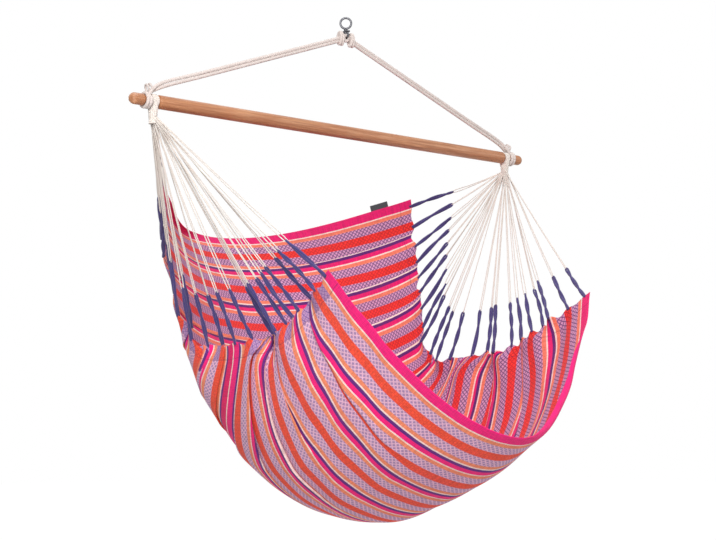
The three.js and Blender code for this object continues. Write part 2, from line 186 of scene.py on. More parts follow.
def tube(shape, path, radius, sides, first=None, ring=False):
    """A tube round a path, with one radius or one for each point of the path."""
    path = np.asarray(path, float)
    across, up = carried_frames(path, first, ring)
    turn = 2 * np.pi * np.arange(sides) / sides
    radius = np.broadcast_to(np.asarray(radius, float), len(path))[:, None, None]
    wheel = across[:, None] * np.cos(turn)[None, :, None]
    wheel = wheel + up[:, None] * np.sin(turn)[None, :, None]
    grid = path[:, None] + radius * wheel
    along = arc_lengths(path)
    if ring:
        along = np.append(along, along[-1] + np.linalg.norm(path[0] - path[-1]))
    places = places_grid(along, np.arange(sides + 1) / sides)
    start = shape.add_grid(grid, places, around=True, ring=ring)
    if not ring:
        last = start + (len(path) - 1) * sides
        shape.add_cap(start, sides, path[0], (0, along[0]), flip=True)
        shape.add_cap(last, sides, path[-1], (0, along[-1]))


UPRIGHT = np.eye(3)
ALONG_X = np.array([[0, 1, 0], [0, 0, 1], [1, 0, 0]], float)


def turned(shape, profile, sides, place=(0, 0, 0), axes=UPRIGHT, mirrored=False):
    """A turned body from (radius, height) pairs that start and end on its axis."""
    profile = np.asarray(profile, float)
    turn = 2 * np.pi * np.arange(sides) / sides
    radius, height = profile[1:-1].T
    x = radius[:, None] * np.cos(turn)
    y = radius[:, None] * np.sin(turn)
    z = np.broadcast_to(height[:, None], x.shape)
    grid = np.stack([x, y, z], -1) @ axes + np.asarray(place, float)
    ends = np.array([[0, 0, profile[0, 1]], [0, 0, profile[-1, 1]]]) @ axes + np.asarray(place, float)
    along = arc_lengths(profile)[1:-1]
    places = places_grid(along, np.arange(sides + 1) / sides)
    start = shape.add_grid(grid, places, around=True, flip=mirrored)
    last = start + (len(grid) - 1) * sides
    shape.add_cap(start, sides, ends[0], (0, along[0]), flip=not mirrored)
    shape.add_cap(last, sides, ends[1], (0, along[-1]), flip=mirrored)


# %% Smooth paths, rings and rounded outlines
STEPS_BETWEEN_KNOTS = 24


def smooth_path(points, count):
    """A smooth curve through a few points, with count evenly spaced points."""
    points = np.asarray(points, float)
    before = 2 * points[0] - points[1]
    after = 2 * points[-1] - points[-2]
    knots = np.concatenate([[before], points, [after]])
    fine = []
    t = np.linspace(0, 1, STEPS_BETWEEN_KNOTS, endpoint=False)[:, None]
    for a, b, c, d in zip(knots, knots[1:], knots[2:], knots[3:]):
        curve = 2 * b + (c - a) * t + (2 * a - 5 * b + 4 * c - d) * t ** 2
        fine.append((curve + (3 * b - a - 3 * c + d) * t ** 3) / 2)
    fine = np.concatenate([*fine, knots[-2:-1]])
    lengths = arc_lengths(fine)
    wanted = np.linspace(0, lengths[-1], count)
    return np.stack([np.interp(wanted, lengths, fine[:, k]) for k in range(3)], -1)


def full_turn(count):
    """The angles of count points, evenly round a full turn."""
    return 2 * np.pi * np.arange(count) / count


def ring_path(radius, count, first, second, centre):
    """A ring of count points, in the plane of two directions."""
    turn = full_turn(count)
    first, second, centre = (np.asarray(v, float) for v in (first, second, centre))
    return centre + radius * (np.cos(turn)[:, None] * first + np.sin(turn)[:, None] * second)


def ring_round_bar(place, radius, count):
    return ring_path(radius, count, (0, 1, 0), (0, 0, 1), (place, 0, BAR_Z))


def rounded(profile, radius, steps=4):
    """The outline with its inner corners rounded by short arcs."""
    profile = np.asarray(profile, float)
    made = [profile[0]]
    for before, corner, after in zip(profile, profile[1:], profile[2:]):
        back = min(radius, np.linalg.norm(before - corner) / 2)
        on = min(radius, np.linalg.norm(after - corner) / 2)
        start = corner + unit(before - corner) * back
        end = corner + unit(after - corner) * on
        for t in np.linspace(0, 1, steps):
            made.append((1 - t) ** 2 * start + 2 * t * (1 - t) * corner + t ** 2 * end)
    made.append(profile[-1])
    return np.array(made)


# %% [markdown]
# ## Shader helpers
# A finish is a small network of nodes. These helpers add a node, a sum or a colour mix in
# one line each, so that a material reads like a recipe.

# %% Nodes helper
class Recipe:
    """Short ways to add nodes to one tree."""

    def __init__(self, tree):
        self.tree = tree

    def add(self, kind, inputs=None, **settings):
        node = self.tree.nodes.new(kind)
        for name, value in settings.items():
            setattr(node, name, value)
        for name, value in (inputs or {}).items():
            self.feed(node.inputs[name], value)
        return node

    def feed(self, socket, value):
        if isinstance(value, bpy.types.NodeSocket):
            self.tree.links.new(value, socket)
        else:
            socket.default_value = value

    def sum(self, operation, *values):
        node = self.add("ShaderNodeMath", operation=operation)
        for socket, value in zip(node.inputs, values):
            self.feed(socket, value)
        return node.outputs[0]

    def mix(self, factor, first, second, blend="MIX"):
        node = self.add("ShaderNodeMix", data_type="RGBA", blend_type=blend)
        for index, value in ((0, factor), (6, first), (7, second)):
            self.feed(node.inputs[index], value)
        return node.outputs[2]

    def smooth(self, value, low, high, out_low=0.0, out_high=1.0):
        node = self.add(
            "ShaderNodeMapRange",
            {"Value": value, "From Min": low, "From Max": high, "To Min": out_low, "To Max": out_high},
            interpolation_type="SMOOTHSTEP",
        )
        return node.outputs["Result"]

    def noise(self, vector, scale, detail=3.0, roughness=0.55):
        node = self.add(
            "ShaderNodeTexNoise",
            {"Vector": vector, "Scale": scale, "Detail": detail, "Roughness": roughness},
        )
        return node.outputs["Fac"]

    def place(self):
        """The two texture places of the surface, as separate values and as one vector."""
        vector = self.add("ShaderNodeUVMap", uv_map="places").outputs["UV"]
        parts = self.add("ShaderNodeSeparateXYZ", {"Vector": vector})
        return parts.outputs["X"], parts.outputs["Y"], vector

    def join(self, x, y, z=0.0):
        return self.add("ShaderNodeCombineXYZ", {"X": x, "Y": y, "Z": z}).outputs["Vector"]

    def spot(self):
        return self.add("ShaderNodeTexCoord").outputs["Object"]

    def use(self, group, **inputs):
        node = self.add("ShaderNodeGroup", node_tree=group)
        for name, value in inputs.items():
            self.feed(node.inputs[name.replace("_", " ")], value)
        return node.outputs

    def bump(self, height, distance, strength=1.0):
        node = self.add("ShaderNodeBump", {"Height": height, "Distance": distance, "Strength": strength})
        return node.outputs["Normal"]


def effect(name, inputs, outputs):
    """A node group with named inputs and outputs; returns it, its recipe and its ends.

    An input is a number, or None for a vector.
    """
    tree = bpy.data.node_groups.new(name, "ShaderNodeTree")
    for label, value in inputs.items():
        kind = "NodeSocketVector" if value is None else "NodeSocketFloat"
        socket = tree.interface.new_socket(label, in_out="INPUT", socket_type=kind)
        if value is not None:
            socket.default_value = value
    for label in outputs:
        kind = "NodeSocketColor" if label == "Color" else "NodeSocketFloat"
        tree.interface.new_socket(label, in_out="OUTPUT", socket_type=kind)
    recipe = Recipe(tree)
    given = recipe.add("NodeGroupInput").outputs
    result = recipe.add("NodeGroupOutput").inputs
    return tree, recipe, given, result


def finish(name, **settings):
    """A material with its recipe and its shader, whose plain values are set here."""
    material = bpy.data.materials.new(name)
    material.use_nodes = True
    recipe = Recipe(material.node_tree)
    shader = material.node_tree.nodes["Principled BSDF"]
    for label, value in settings.items():
        shader.inputs[label.replace("_", " ")].default_value = value
    return material, recipe, shader.inputs


def srgb(red, green, blue):
    """A colour as seen on a screen, from 0 to 255, as the linear colour that shaders use."""
    shares = [channel / 255 for channel in (red, green, blue)]
    linear = [c / 12.92 if c <= 0.04045 else ((c + 0.055) / 1.055) ** 2.4 for c in shares]
    return (*linear, 1.0)


# %% [markdown]
# ## Shared effects
# Cord, rope and fringe are all spun, so they share one effect for the lay of their yarns, whose grooves
# get painted shade.
# All cloth and cord also picks up faint soil and fades unevenly, and every thread has
# fuzz, so those are effects too. Each material places them with its own values.

# %% Effects for spun things
def zigzag(r, way, first, second):
    """1 where the sum or difference of two counts is whole, and 0 halfway between."""
    share = r.sum("FRACT", r.sum(way, first, second))
    return r.sum("ABSOLUTE", r.sum("MULTIPLY_ADD", share, 2.0, -1.0))


LAY, r, given, result = effect(
    "yarn lay", {"Around": 0.0, "Along": 0.0, "Yarns": 3.0, "Pitch": 0.01}, ("Height", "Groove")
)
turns_around = r.sum("MULTIPLY", given["Around"], given["Yarns"])
turns_along = r.sum("DIVIDE", given["Along"], given["Pitch"])
turns = r.sum("ADD", turns_around, turns_along)
wave = r.sum("ABSOLUTE", r.sum("SINE", r.sum("MULTIPLY", turns, math.pi)))
r.feed(result["Height"], wave)
# The Groove mask marks where the spun finishes paint shade into the lay
r.feed(result["Groove"], r.smooth(wave, 0.0, 0.45, 1.0, 0.0))

BRAID, r, given, result = effect(
    "braid", {"Around": 0.0, "Along": 0.0, "Carriers": 8.0, "Pitch": 0.014}, ("Height", "Groove")
)
turns = r.sum("MULTIPLY", given["Around"], given["Carriers"])
travel = r.sum("DIVIDE", given["Along"], given["Pitch"])
ridges = [r.sum("SUBTRACT", 1.0, zigzag(r, way, turns, travel)) for way in ("ADD", "SUBTRACT")]
ridge = r.sum("MAXIMUM", *ridges)
r.feed(result["Height"], ridge)
# The Groove mask marks where the rope's finish paints shade between the braid's strands
r.feed(result["Groove"], r.smooth(ridge, 0.1, 0.6, 1.0, 0.0))

# %% Effects for soil and for woven threads
SOIL, r, given, result = effect("soft soil", {"Vector": None, "Scale": 9.0, "Amount": 0.2}, ("Mask",))
cloud = r.noise(given["Vector"], given["Scale"], detail=5.0, roughness=0.6)
r.feed(result["Mask"], r.sum("MULTIPLY", r.smooth(cloud, 0.42, 0.72), given["Amount"]))

# Spots per metre along and across: long ones for warp threads, wide ones for weft threads
THREAD_RATES = ((40.0, 700.0), (520.0, 24.0))
WEAVE, r, given, result = effect(
    "woven threads", {"Along": 0.0, "Across": 0.0, "Warp": 0.0011, "Weft": 0.0016}, ("Height", "Shade")
)
warp = r.sum("SINE", r.sum("MULTIPLY", r.sum("DIVIDE", given["Across"], given["Warp"]), 2 * math.pi))
weft = r.sum("SINE", r.sum("MULTIPLY", r.sum("DIVIDE", given["Along"], given["Weft"]), 2 * math.pi))
over = r.sum("MULTIPLY_ADD", r.sum("MULTIPLY", warp, weft), 0.5, 0.5)
r.feed(result["Height"], over)
shades = []
for along_rate, across_rate in THREAD_RATES:
    along_thread = r.sum("MULTIPLY", given["Along"], along_rate)
    across_thread = r.sum("MULTIPLY", given["Across"], across_rate)
    spots = r.noise(r.join(along_thread, across_thread), scale=1.0, detail=2.0)
    shades.append(r.smooth(spots, 0.3, 0.7, 0.86, 1.1))
r.feed(result["Shade"], r.sum("MULTIPLY", *shades))
print("shared effects:", [group.name for group in bpy.data.node_groups])

# %% [markdown]
# ## Camera, light and floor
# The camera stands to the left of the chair and a little below the middle, as in the
# photograph. The light is a plain soft studio: a large key lamp from the upper left
# front, a weak fill from the right, soft lamps above and behind, and a pale surround.
# The backdrop is white only for the eye, for gloss and for glass, so that it doesn't
# burn out the cloth.

# %% Camera
CAMERA_PLACE = (-2.647, -2.986, -1.025)
CAMERA_TILT = math.radians(95.53)
CAMERA_TURN = math.radians(-42)
CAMERA_LENS = 80.75
SENSOR_WIDTH = 36
camera_data = bpy.data.cameras.new("camera")
camera_data.lens = CAMERA_LENS
camera_data.sensor_width = SENSOR_WIDTH
camera = bpy.data.objects.new("camera", camera_data)
camera.location = CAMERA_PLACE
camera.rotation_euler = (CAMERA_TILT, 0, CAMERA_TURN)
bpy.context.scene.collection.objects.link(camera)
bpy.context.scene.camera = camera
bpy.context.scene.view_settings.view_transform = "Standard"
print("camera at", CAMERA_PLACE, "with a lens of", CAMERA_LENS, "mm")

# %% Lamps
LAMP_AIM = np.array([0, 0, -0.75])
# Each lamp: name, place, width across in metres, and power in watts
LAMPS = (
    ("key_lamp", (-2.7, -2.8, 1.0), 2.0, 160),
    ("fill_lamp", (2.6, -2.8, 0.4), 2.6, 26),
    ("top_lamp", (0.4, 0.6, 2.6), 2.4, 42),
    ("back_lamp", (0.6, 3.6, 0.2), 2.6, 60),
)
for name, place, width, power in LAMPS:
    data = bpy.data.lights.new(name, "AREA")
    data.shape = "DISK"
    data.size = width
    data.energy = power
    lamp = bpy.data.objects.new(name, data)
    lamp.location = place
    towards = np.array(place) - LAMP_AIM
    level = math.hypot(towards[0], towards[1])
    lamp.rotation_euler = (math.atan2(level, towards[2]), 0, math.atan2(towards[0], -towards[1]))
    bpy.context.scene.collection.objects.link(lamp)
print("lamps:", [name for name, *_ in LAMPS])

# %% World
WHITE = (1, 1, 1, 1)
SURROUND = 0.26


def seen_mask(r):
    """1 for the eye and for what gloss and glass show of it, and 0 for its light on things."""
    rays = r.add("ShaderNodeLightPath").outputs
    shown = r.sum("MAXIMUM", rays["Is Glossy Ray"], rays["Is Transmission Ray"])
    return r.sum("MAXIMUM", rays["Is Camera Ray"], shown)


world = bpy.data.worlds.new("studio")
world.use_nodes = True
bpy.context.scene.world = world
r = Recipe(world.node_tree)
r.tree.nodes.clear()
seen = seen_mask(r)
ambient = r.add("ShaderNodeBackground", {"Color": WHITE, "Strength": SURROUND})
backdrop = r.add("ShaderNodeBackground", {"Color": WHITE, "Strength": 1.0})
shown = r.add("ShaderNodeMixShader", {0: seen, 1: ambient.outputs[0], 2: backdrop.outputs[0]})
r.add("ShaderNodeOutputWorld", {"Surface": shown.outputs[0]})

# %% Floor
FLOOR_Z = -1.72
FLOOR_REACH = 14.0
FLOOR_GLOW = 1.2
FLOOR_GLOW_SHARE = 0.82
steps = np.linspace(-FLOOR_REACH, FLOOR_REACH, 3)
floor_x, floor_y = np.meshgrid(steps, steps)
floor_grid = np.stack([floor_x, floor_y, np.full_like(floor_x, FLOOR_Z)], -1)
floor_shape = Shape()
floor_shape.add_grid(floor_grid, places_grid(steps, steps))
FLOOR_FINISH, r, _ = finish("pale_floor", Base_Color=(0.6, 0.6, 0.6, 1), Roughness=0.9)
seen = seen_mask(r)
glow = r.add("ShaderNodeEmission", {"Color": WHITE, "Strength": FLOOR_GLOW})
glow_share = r.sum("MULTIPLY", seen, FLOOR_GLOW_SHARE)
shader = r.tree.nodes["Principled BSDF"]
mixed = r.add("ShaderNodeMixShader", {0: glow_share, 1: shader.outputs[0], 2: glow.outputs[0]})
r.feed(r.tree.nodes["Material Output"].inputs["Surface"], mixed.outputs[0])
floor = floor_shape.build("floor", FLOOR_FINISH)
print("floor at", FLOOR_Z)

# %% [markdown]
# ## Finishes of the hard pieces and the cords
# The hanger is zinc-plated wire, dark and satin. The bar is oiled bamboo, whose fibres
# run along it in fine streaks. The rope is a white braid, and the fan cords are twisted.
# The fringe is the cloth's own warp, twisted into indigo bundles.

# %% Steel
STEEL, r, ports = finish("dark_zinc_steel", Metallic=1.0, Roughness=0.34)
spot = r.spot()
streak = r.noise(spot, scale=420.0, detail=4.0)
r.feed(ports["Base Color"], r.mix(r.smooth(streak, 0.35, 0.7), srgb(66, 66, 70), srgb(118, 118, 122)))
r.feed(ports["Roughness"], r.smooth(streak, 0.3, 0.75, 0.28, 0.5))
grain = r.noise(spot, scale=900.0, detail=2.0)
r.feed(ports["Normal"], r.bump(grain, distance=0.00015, strength=0.4))

# %% Bamboo
# How much finer the fibres are along each axis, and the patches along X
FIBRE_RATES = {"X": 3.0, "Y": 90.0, "Z": 90.0}
PATCH_RATE = 5.0
BAMBOO, r, ports = finish("oiled_bamboo", Coat_Weight=0.15, Coat_Roughness=0.35)
parts = r.add("ShaderNodeSeparateXYZ", {"Vector": r.spot()}).outputs
stretched = r.join(*[r.sum("MULTIPLY", parts[axis], rate) for axis, rate in FIBRE_RATES.items()])
fibres = r.noise(stretched, scale=2.2, detail=6.0, roughness=0.7)
patch_place = r.join(r.sum("MULTIPLY", parts["X"], PATCH_RATE), parts["Y"], parts["Z"])
patches = r.noise(patch_place, scale=2.0, detail=3.0)
wood = r.mix(r.smooth(fibres, 0.3, 0.75), srgb(146, 90, 55), srgb(208, 150, 108))
wood = r.mix(r.smooth(patches, 0.35, 0.7, 0.0, 0.5), wood, srgb(172, 108, 68))
r.feed(ports["Base Color"], wood)
r.feed(ports["Roughness"], r.smooth(fibres, 0.3, 0.8, 0.55, 0.38))
r.feed(ports["Normal"], r.bump(fibres, distance=0.0005, strength=0.5))

# %% Rope, cord and fringe
def spun_finish(name, effect_group, light, dark, soil_colour, depth, **lay_values):
    """A matt spun finish: one effect for its lay, dark as painted shade in its grooves, and soil in soft
    patches.
    """
    material, r, ports = finish(name, Roughness=0.92, Sheen_Weight=0.25, Sheen_Roughness=0.6)
    around, along, _ = r.place()
    lay = r.use(effect_group, Around=around, Along=along, **lay_values)
    soil = r.use(SOIL, Vector=r.spot(), Scale=14.0, Amount=0.35)["Mask"]
    fuzz = r.noise(r.spot(), scale=1300.0, detail=2.0)
    # Painted shade: the lay's grooves take the dark colour
    colour = r.mix(lay["Groove"], light, dark)
    colour = r.mix(soil, colour, soil_colour)
    r.feed(ports["Base Color"], colour)
    height = r.sum("MULTIPLY_ADD", fuzz, 0.25, lay["Height"])
    r.feed(ports["Normal"], r.bump(height, depth, strength=0.9))
    return material


# Each: name, lay effect, yarn colour, groove colour as painted shade, soil colour, bump depth and lay
# values
ROPE_FINISH = spun_finish(
    "braided_rope", BRAID, srgb(221, 208, 202), srgb(194, 180, 173), srgb(206, 191, 184),
    0.0005, Carriers=8.0, Pitch=0.013,
)
CORD_FINISH = spun_finish(
    "twisted_cord", LAY, srgb(236, 227, 219), srgb(158, 144, 134), srgb(210, 194, 182),
    0.0003, Yarns=2.0, Pitch=0.0045,
)
FRINGE_FINISH = spun_finish(
    "indigo_warp", LAY, srgb(66, 53, 122), srgb(26, 18, 52), srgb(50, 34, 82),
    0.0005, Yarns=7.0, Pitch=0.03,
)

# %% [markdown]
# ## The swivel hanger
# A closed wire ring hangs on the ceiling hook. A stem goes down from it through the crown
# of a small bow and ends in a rivet head, so the bow can turn. They are made as smooth
# tubes and turned shapes on two bodies.

# %% Swivel eye
EYE_WIRE = 0.0054
EYE_RADIUS = 0.0137
EYE_FACING = math.radians(-42)
EYE_RING_POINTS = 72
STEM_RADIUS = 0.0035
STEM_OVERLAP = 0.0006
COLLAR_RADIUS = 1.5 * STEM_RADIUS
COLLAR_GAP = 0.0004
COLLAR_TOP = 0.0018
CROWN_TOP = -0.0307
CROWN_FOOT = -0.0347
RIVET_TOP = -0.03505
RIVET_FOOT = -0.03755
RIVET_RADIUS = 0.0046
HANGER_EDGE = 0.0006
eye_across = (math.cos(EYE_FACING), math.sin(EYE_FACING), 0)
eye_centre_z = -EYE_RADIUS + EYE_WIRE / 2
stem_top = eye_centre_z - EYE_RADIUS + STEM_OVERLAP
stem_profile = [
    (0, RIVET_FOOT),
    (RIVET_RADIUS, RIVET_FOOT),
    (RIVET_RADIUS, RIVET_TOP),
    (STEM_RADIUS, RIVET_TOP),
    (STEM_RADIUS, CROWN_TOP + COLLAR_GAP),
    (COLLAR_RADIUS, CROWN_TOP + COLLAR_GAP),
    (COLLAR_RADIUS, CROWN_TOP + COLLAR_TOP),
    (STEM_RADIUS, stem_top),
    (0, stem_top),
]
eye = Shape()
eye_ring = ring_path(EYE_RADIUS, EYE_RING_POINTS, eye_across, (0, 0, 1), (0, 0, eye_centre_z))
tube(eye, eye_ring, EYE_WIRE / 2, sides=20, ring=True)
turned(eye, rounded(stem_profile, HANGER_EDGE), sides=40)
swivel_eye = eye.build("swivel_eye_wire", STEEL)
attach(swivel_eye, "hanger")
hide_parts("swivel_eye")

# %% Swivel bow's crown
CROWN_HALF_WIDTH = 0.015
CROWN_HALF_DEPTH = 0.0055
CROWN_EDGE = 0.0007
CROWN_SIDES = 56
BORE_RADIUS = 0.00385


def crown_ring(half_x, half_y, height):
    turn = full_turn(CROWN_SIDES)
    return np.stack([half_x * np.cos(turn), half_y * np.sin(turn), np.full(CROWN_SIDES, height)], -1)


def crown_outline(inset, height):
    return crown_ring(CROWN_HALF_DEPTH - inset, CROWN_HALF_WIDTH - inset, height)


crown_grid = np.array([
    crown_outline(0, CROWN_FOOT + CROWN_EDGE),
    crown_outline(0, CROWN_TOP - CROWN_EDGE),
    crown_outline(CROWN_EDGE / 2, CROWN_TOP - CROWN_EDGE / 4),
    crown_outline(2 * CROWN_EDGE, CROWN_TOP),
    crown_ring(BORE_RADIUS, BORE_RADIUS, CROWN_TOP),
    crown_ring(BORE_RADIUS, BORE_RADIUS, CROWN_FOOT),
    crown_outline(2 * CROWN_EDGE, CROWN_FOOT),
    crown_outline(CROWN_EDGE / 2, CROWN_FOOT + CROWN_EDGE / 4),
])
crown_down = np.arange(len(crown_grid) + 1) * CROWN_EDGE
crown_places = places_grid(crown_down, np.arange(CROWN_SIDES + 1) / CROWN_SIDES)
bow = Shape()
bow.add_grid(crown_grid, crown_places, around=True, ring=True)

# %% Swivel bow's wire
BOW_WIRE = 0.0045
BOW_HALF_WIDTH = 0.0086
BOW_WIRE_Z = -0.04945
BEND_STEPS = 24
knee_z = BOW_WIRE_Z + BOW_HALF_WIDTH
crown_mid = (CROWN_TOP + CROWN_FOOT) / 2
straight = [(crown_mid + knee_z) / 2, crown_mid]
bend = np.pi + np.pi * np.arange(BEND_STEPS + 1) / BEND_STEPS
bow_path = [(0, -BOW_HALF_WIDTH, z) for z in reversed(straight)]
bow_path += [(0, BOW_HALF_WIDTH * math.cos(a), knee_z + BOW_HALF_WIDTH * math.sin(a)) for a in bend]
bow_path += [(0, BOW_HALF_WIDTH, z) for z in straight]
tube(bow, bow_path, BOW_WIRE / 2, sides=18, first=(1, 0, 0))
swivel_bow = bow.build("swivel_bow_wire", STEEL)
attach(swivel_bow, "bow")
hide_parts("swivel_bow")
print("hanger:", len(swivel_eye.data.polygons) + len(swivel_bow.data.polygons), "faces")

# %% [markdown]
# ## The suspension rope
# One braided rope runs through the bow and down both sides. Beside the bow it is bound in
# thick turns. At each bar end it passes twice round the neck of the bar and returns, and
# a seizing holds its two strands together. Tubes along given routes show the rope as
# rope, with its braid as a bump on the surface.

# %% Hitch on the bow
HITCH_RADIUS = 0.00685
HITCH_RING_POINTS = 64
hitch = Shape()
hitch_ring = ring_path(HITCH_RADIUS, HITCH_RING_POINTS, (1, 0, 0), (0, 0, 1), (0, 0, BOW_WIRE_Z))
tube(hitch, hitch_ring, ROPE / 2, sides=20, ring=True)
rope_hitch = hitch.build("rope_hitch_turn", ROPE_FINISH)
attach(rope_hitch, "hitch")
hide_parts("rope_hitch")

# %% Whippings beside the hitch
LEG_TOP = np.array([0.01145, 0, -0.05228])
WHIPPING_HEIGHT = 0.038
WHIPPING_DEPTH = 0.021
WHIPPING_LENGTH = 0.013
TURN_ROPE = 0.0068
# Each turn: its place as a share of the length, and its lean as a share of the rope
WHIPPING_TURN_SHARES = ((0.26, 0.35), (0.74, -0.25))
CORE_PROFILE_SHARES = ((0, 0), (0.8, 0), (1, 0.3), (1, 0.7), (0.8, 1), (0, 1))
CORE_ROUNDING_SHARE = 0.15
CORE_START_SHARE = 0.05
CORE_LENGTH_SHARE = 0.9
CORE_DEPTH_SHARE = 0.62
CORE_HEIGHT_SHARE = 0.7
for side_name, side in SIDES.items():
    whipping = Shape()
    turn = full_turn(count=56)
    half_height = (WHIPPING_HEIGHT - TURN_ROPE) / 2
    half_depth = (WHIPPING_DEPTH - TURN_ROPE) / 2
    for place_share, lean_share in WHIPPING_TURN_SHARES:
        x = LEG_TOP[0] + WHIPPING_LENGTH * place_share + lean_share * TURN_ROPE * np.sin(turn) * 0.5
        y = half_depth * np.cos(turn)
        z = LEG_TOP[2] + half_height * np.sin(turn)
        tube(whipping, np.stack([side * x, y, z], -1), TURN_ROPE / 2, sides=16, ring=True)
    core = rounded(CORE_PROFILE_SHARES, CORE_ROUNDING_SHARE)
    core = core * np.array([1, WHIPPING_LENGTH * CORE_LENGTH_SHARE])
    size = np.array([side, CORE_DEPTH_SHARE * WHIPPING_DEPTH / 2, CORE_HEIGHT_SHARE * WHIPPING_HEIGHT / 2])
    start = (side * (LEG_TOP[0] + CORE_START_SHARE * WHIPPING_LENGTH), 0, LEG_TOP[2])
    turned(whipping, core, sides=32, place=start, axes=ALONG_X * size, mirrored=side < 0)
    piece = whipping.build(f"rope_whipping_turns_{side_name}", ROPE_FINISH)
    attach(piece, "sling")
    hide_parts(f"rope_whipping_{side_name}")
print("whippings:", len(WHIPPING_TURN_SHARES), "turns beside each side of the bow")

# %% The route of a rope leg
LEG_FOOT = np.array([0.6035, 0, -0.265])
LEG_START_SHARE = 0.6
LEG_SHARES = (0, 0.2, 0.4, 0.6, 0.8, 1)
APEX_SPREAD = 0.0072
BAR_SPREAD = 0.0088
RING_RISE = 0.045
RING_PLACE = 0.6035
RING_DEGREES = (62, 10, -35, -90, -145, 170, 118)
TURN_SPREAD = 0.0082
FIRST_TURN_SHARE = 0.33
SECOND_TURN_SHARE = 0.67
NECK_GRIP = BAR_NECK_RADIUS + WRAP_GAP + ROPE / 2
leg_along = unit(LEG_FOOT - LEG_TOP)
leg_across = np.array([-leg_along[2], 0, leg_along[0]])


def leg_route(side):
    """Down one strand, round the bar's neck behind and in front, and back up the other."""
    top = LEG_TOP + leg_along * ((WHIPPING_LENGTH * LEG_START_SHARE) / leg_along[0])
    near = LEG_FOOT - leg_along * RING_RISE
    first = top - leg_across * APEX_SPREAD / 2
    last = near - leg_across * BAR_SPREAD / 2
    down = [(1 - share) * first + share * last for share in LEG_SHARES]
    place = RING_PLACE - FIRST_TURN_SHARE * TURN_SPREAD
    ring = [
        (place, NECK_GRIP * math.cos(turn), BAR_Z + NECK_GRIP * math.sin(turn))
        for turn in np.radians(RING_DEGREES)
    ]
    back = [
        point + leg_across * (APEX_SPREAD * (1 - share) + BAR_SPREAD * share)
        for point, share in zip(down, LEG_SHARES)
    ]
    points = np.array([*down, *ring, *reversed(back)])
    points[:, 0] *= side
    return smooth_path(points, count=420)


# %% Rope legs
SEIZING_RISE = 0.006
SEIZING_LIFT = 0.001
SEIZING_SHIFTS = (-0.0045, 0.0045)
SEIZING_HALF_HEIGHT = 0.0088
SEIZING_HALF_DEPTH = 0.0062
SEIZING_CORD_RADIUS = 0.0026
seizing = LEG_FOOT - leg_along * SEIZING_RISE + np.array([0, 0, SEIZING_LIFT])
for side_name, side in SIDES.items():
    leg = Shape()
    tube(leg, leg_route(side), ROPE / 2, sides=14, first=(0, 1, 0))
    mirror = np.array([side, 1, 1])
    along = leg_along * mirror
    across = np.array([-along[2], 0, along[0]])
    turn = full_turn(count=40)[:, None]
    for shift in SEIZING_SHIFTS:
        loop = (seizing + leg_along * shift) * mirror + np.cos(turn) * across * SEIZING_HALF_HEIGHT
        loop = loop + np.sin(turn) * np.array([0, SEIZING_HALF_DEPTH, 0])
        tube(leg, loop, SEIZING_CORD_RADIUS, sides=12, ring=True)
    place = side * (RING_PLACE + SECOND_TURN_SHARE * TURN_SPREAD)
    tube(leg, ring_round_bar(place, NECK_GRIP, count=56), ROPE / 2, sides=14, ring=True)
    piece = leg.build(f"rope_leg_{side_name}", ROPE_FINISH)
    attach(piece, "sling")
    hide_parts(f"rope_{side_name}")
print("rope legs:", round(float(arc_lengths(leg_route(1))[-1]), 3), "m of rope in each")

# %% [markdown]
# ## The spreader bar
# The bar is turned from one length of bamboo, with a neck near each end for the rope and
# the gathered cords, and a rounded end knob. Its outline is a short list of radii.

# %% Bar
BAR_NECK_INNER = 0.573
BAR_NECK_OUTER = 0.613
BAR_KNOB_RADIUS = 0.0135
KNOB_STEPS = 12
NECK_LIP = 0.00125
BAR_EDGE = 0.0012
# Rings along the plain part of each half, from the neck towards the middle
BAR_RING_SHARES = np.linspace(0.96, 0.04, 24)
half_profile = [(0, -BAR_HALF)]
knob_centre = BAR_HALF - BAR_KNOB_RADIUS
for step in range(1, KNOB_STEPS + 1):
    angle = step / KNOB_STEPS * math.pi / 2
    half_profile.append(
        (BAR_KNOB_RADIUS * math.sin(angle), -knob_centre - BAR_KNOB_RADIUS * math.cos(angle))
    )
half_profile += [
    (BAR_KNOB_RADIUS, -BAR_NECK_OUTER - NECK_LIP),
    (BAR_NECK_RADIUS, -BAR_NECK_OUTER),
    (BAR_NECK_RADIUS, -BAR_NECK_INNER - NECK_LIP),
    (BAR_RADIUS, -BAR_NECK_INNER + NECK_LIP),
]
half_profile += [(BAR_RADIUS, -BAR_NECK_INNER * share) for share in BAR_RING_SHARES]
whole_profile = half_profile + [(radius, -along) for radius, along in reversed(half_profile)]
bar = Shape()
turned(bar, rounded(whole_profile, BAR_EDGE, steps=3), sides=64, place=(0, 0, BAR_Z), axes=ALONG_X)
spreader = bar.build("spreader_bar_turned", BAMBOO)
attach(spreader, "bar")
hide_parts("spreader_bar")
print("bar:", len(spreader.data.polygons), "faces")

# %% [markdown]
# ## The cloth's hung shape
# The seat hangs as a deep trough. Its shape is known from the photograph as a row of
# sections from the back selvedge to the front one. Each section gives where a stripe ends
# and where its middle hangs, and a power curve joins them.

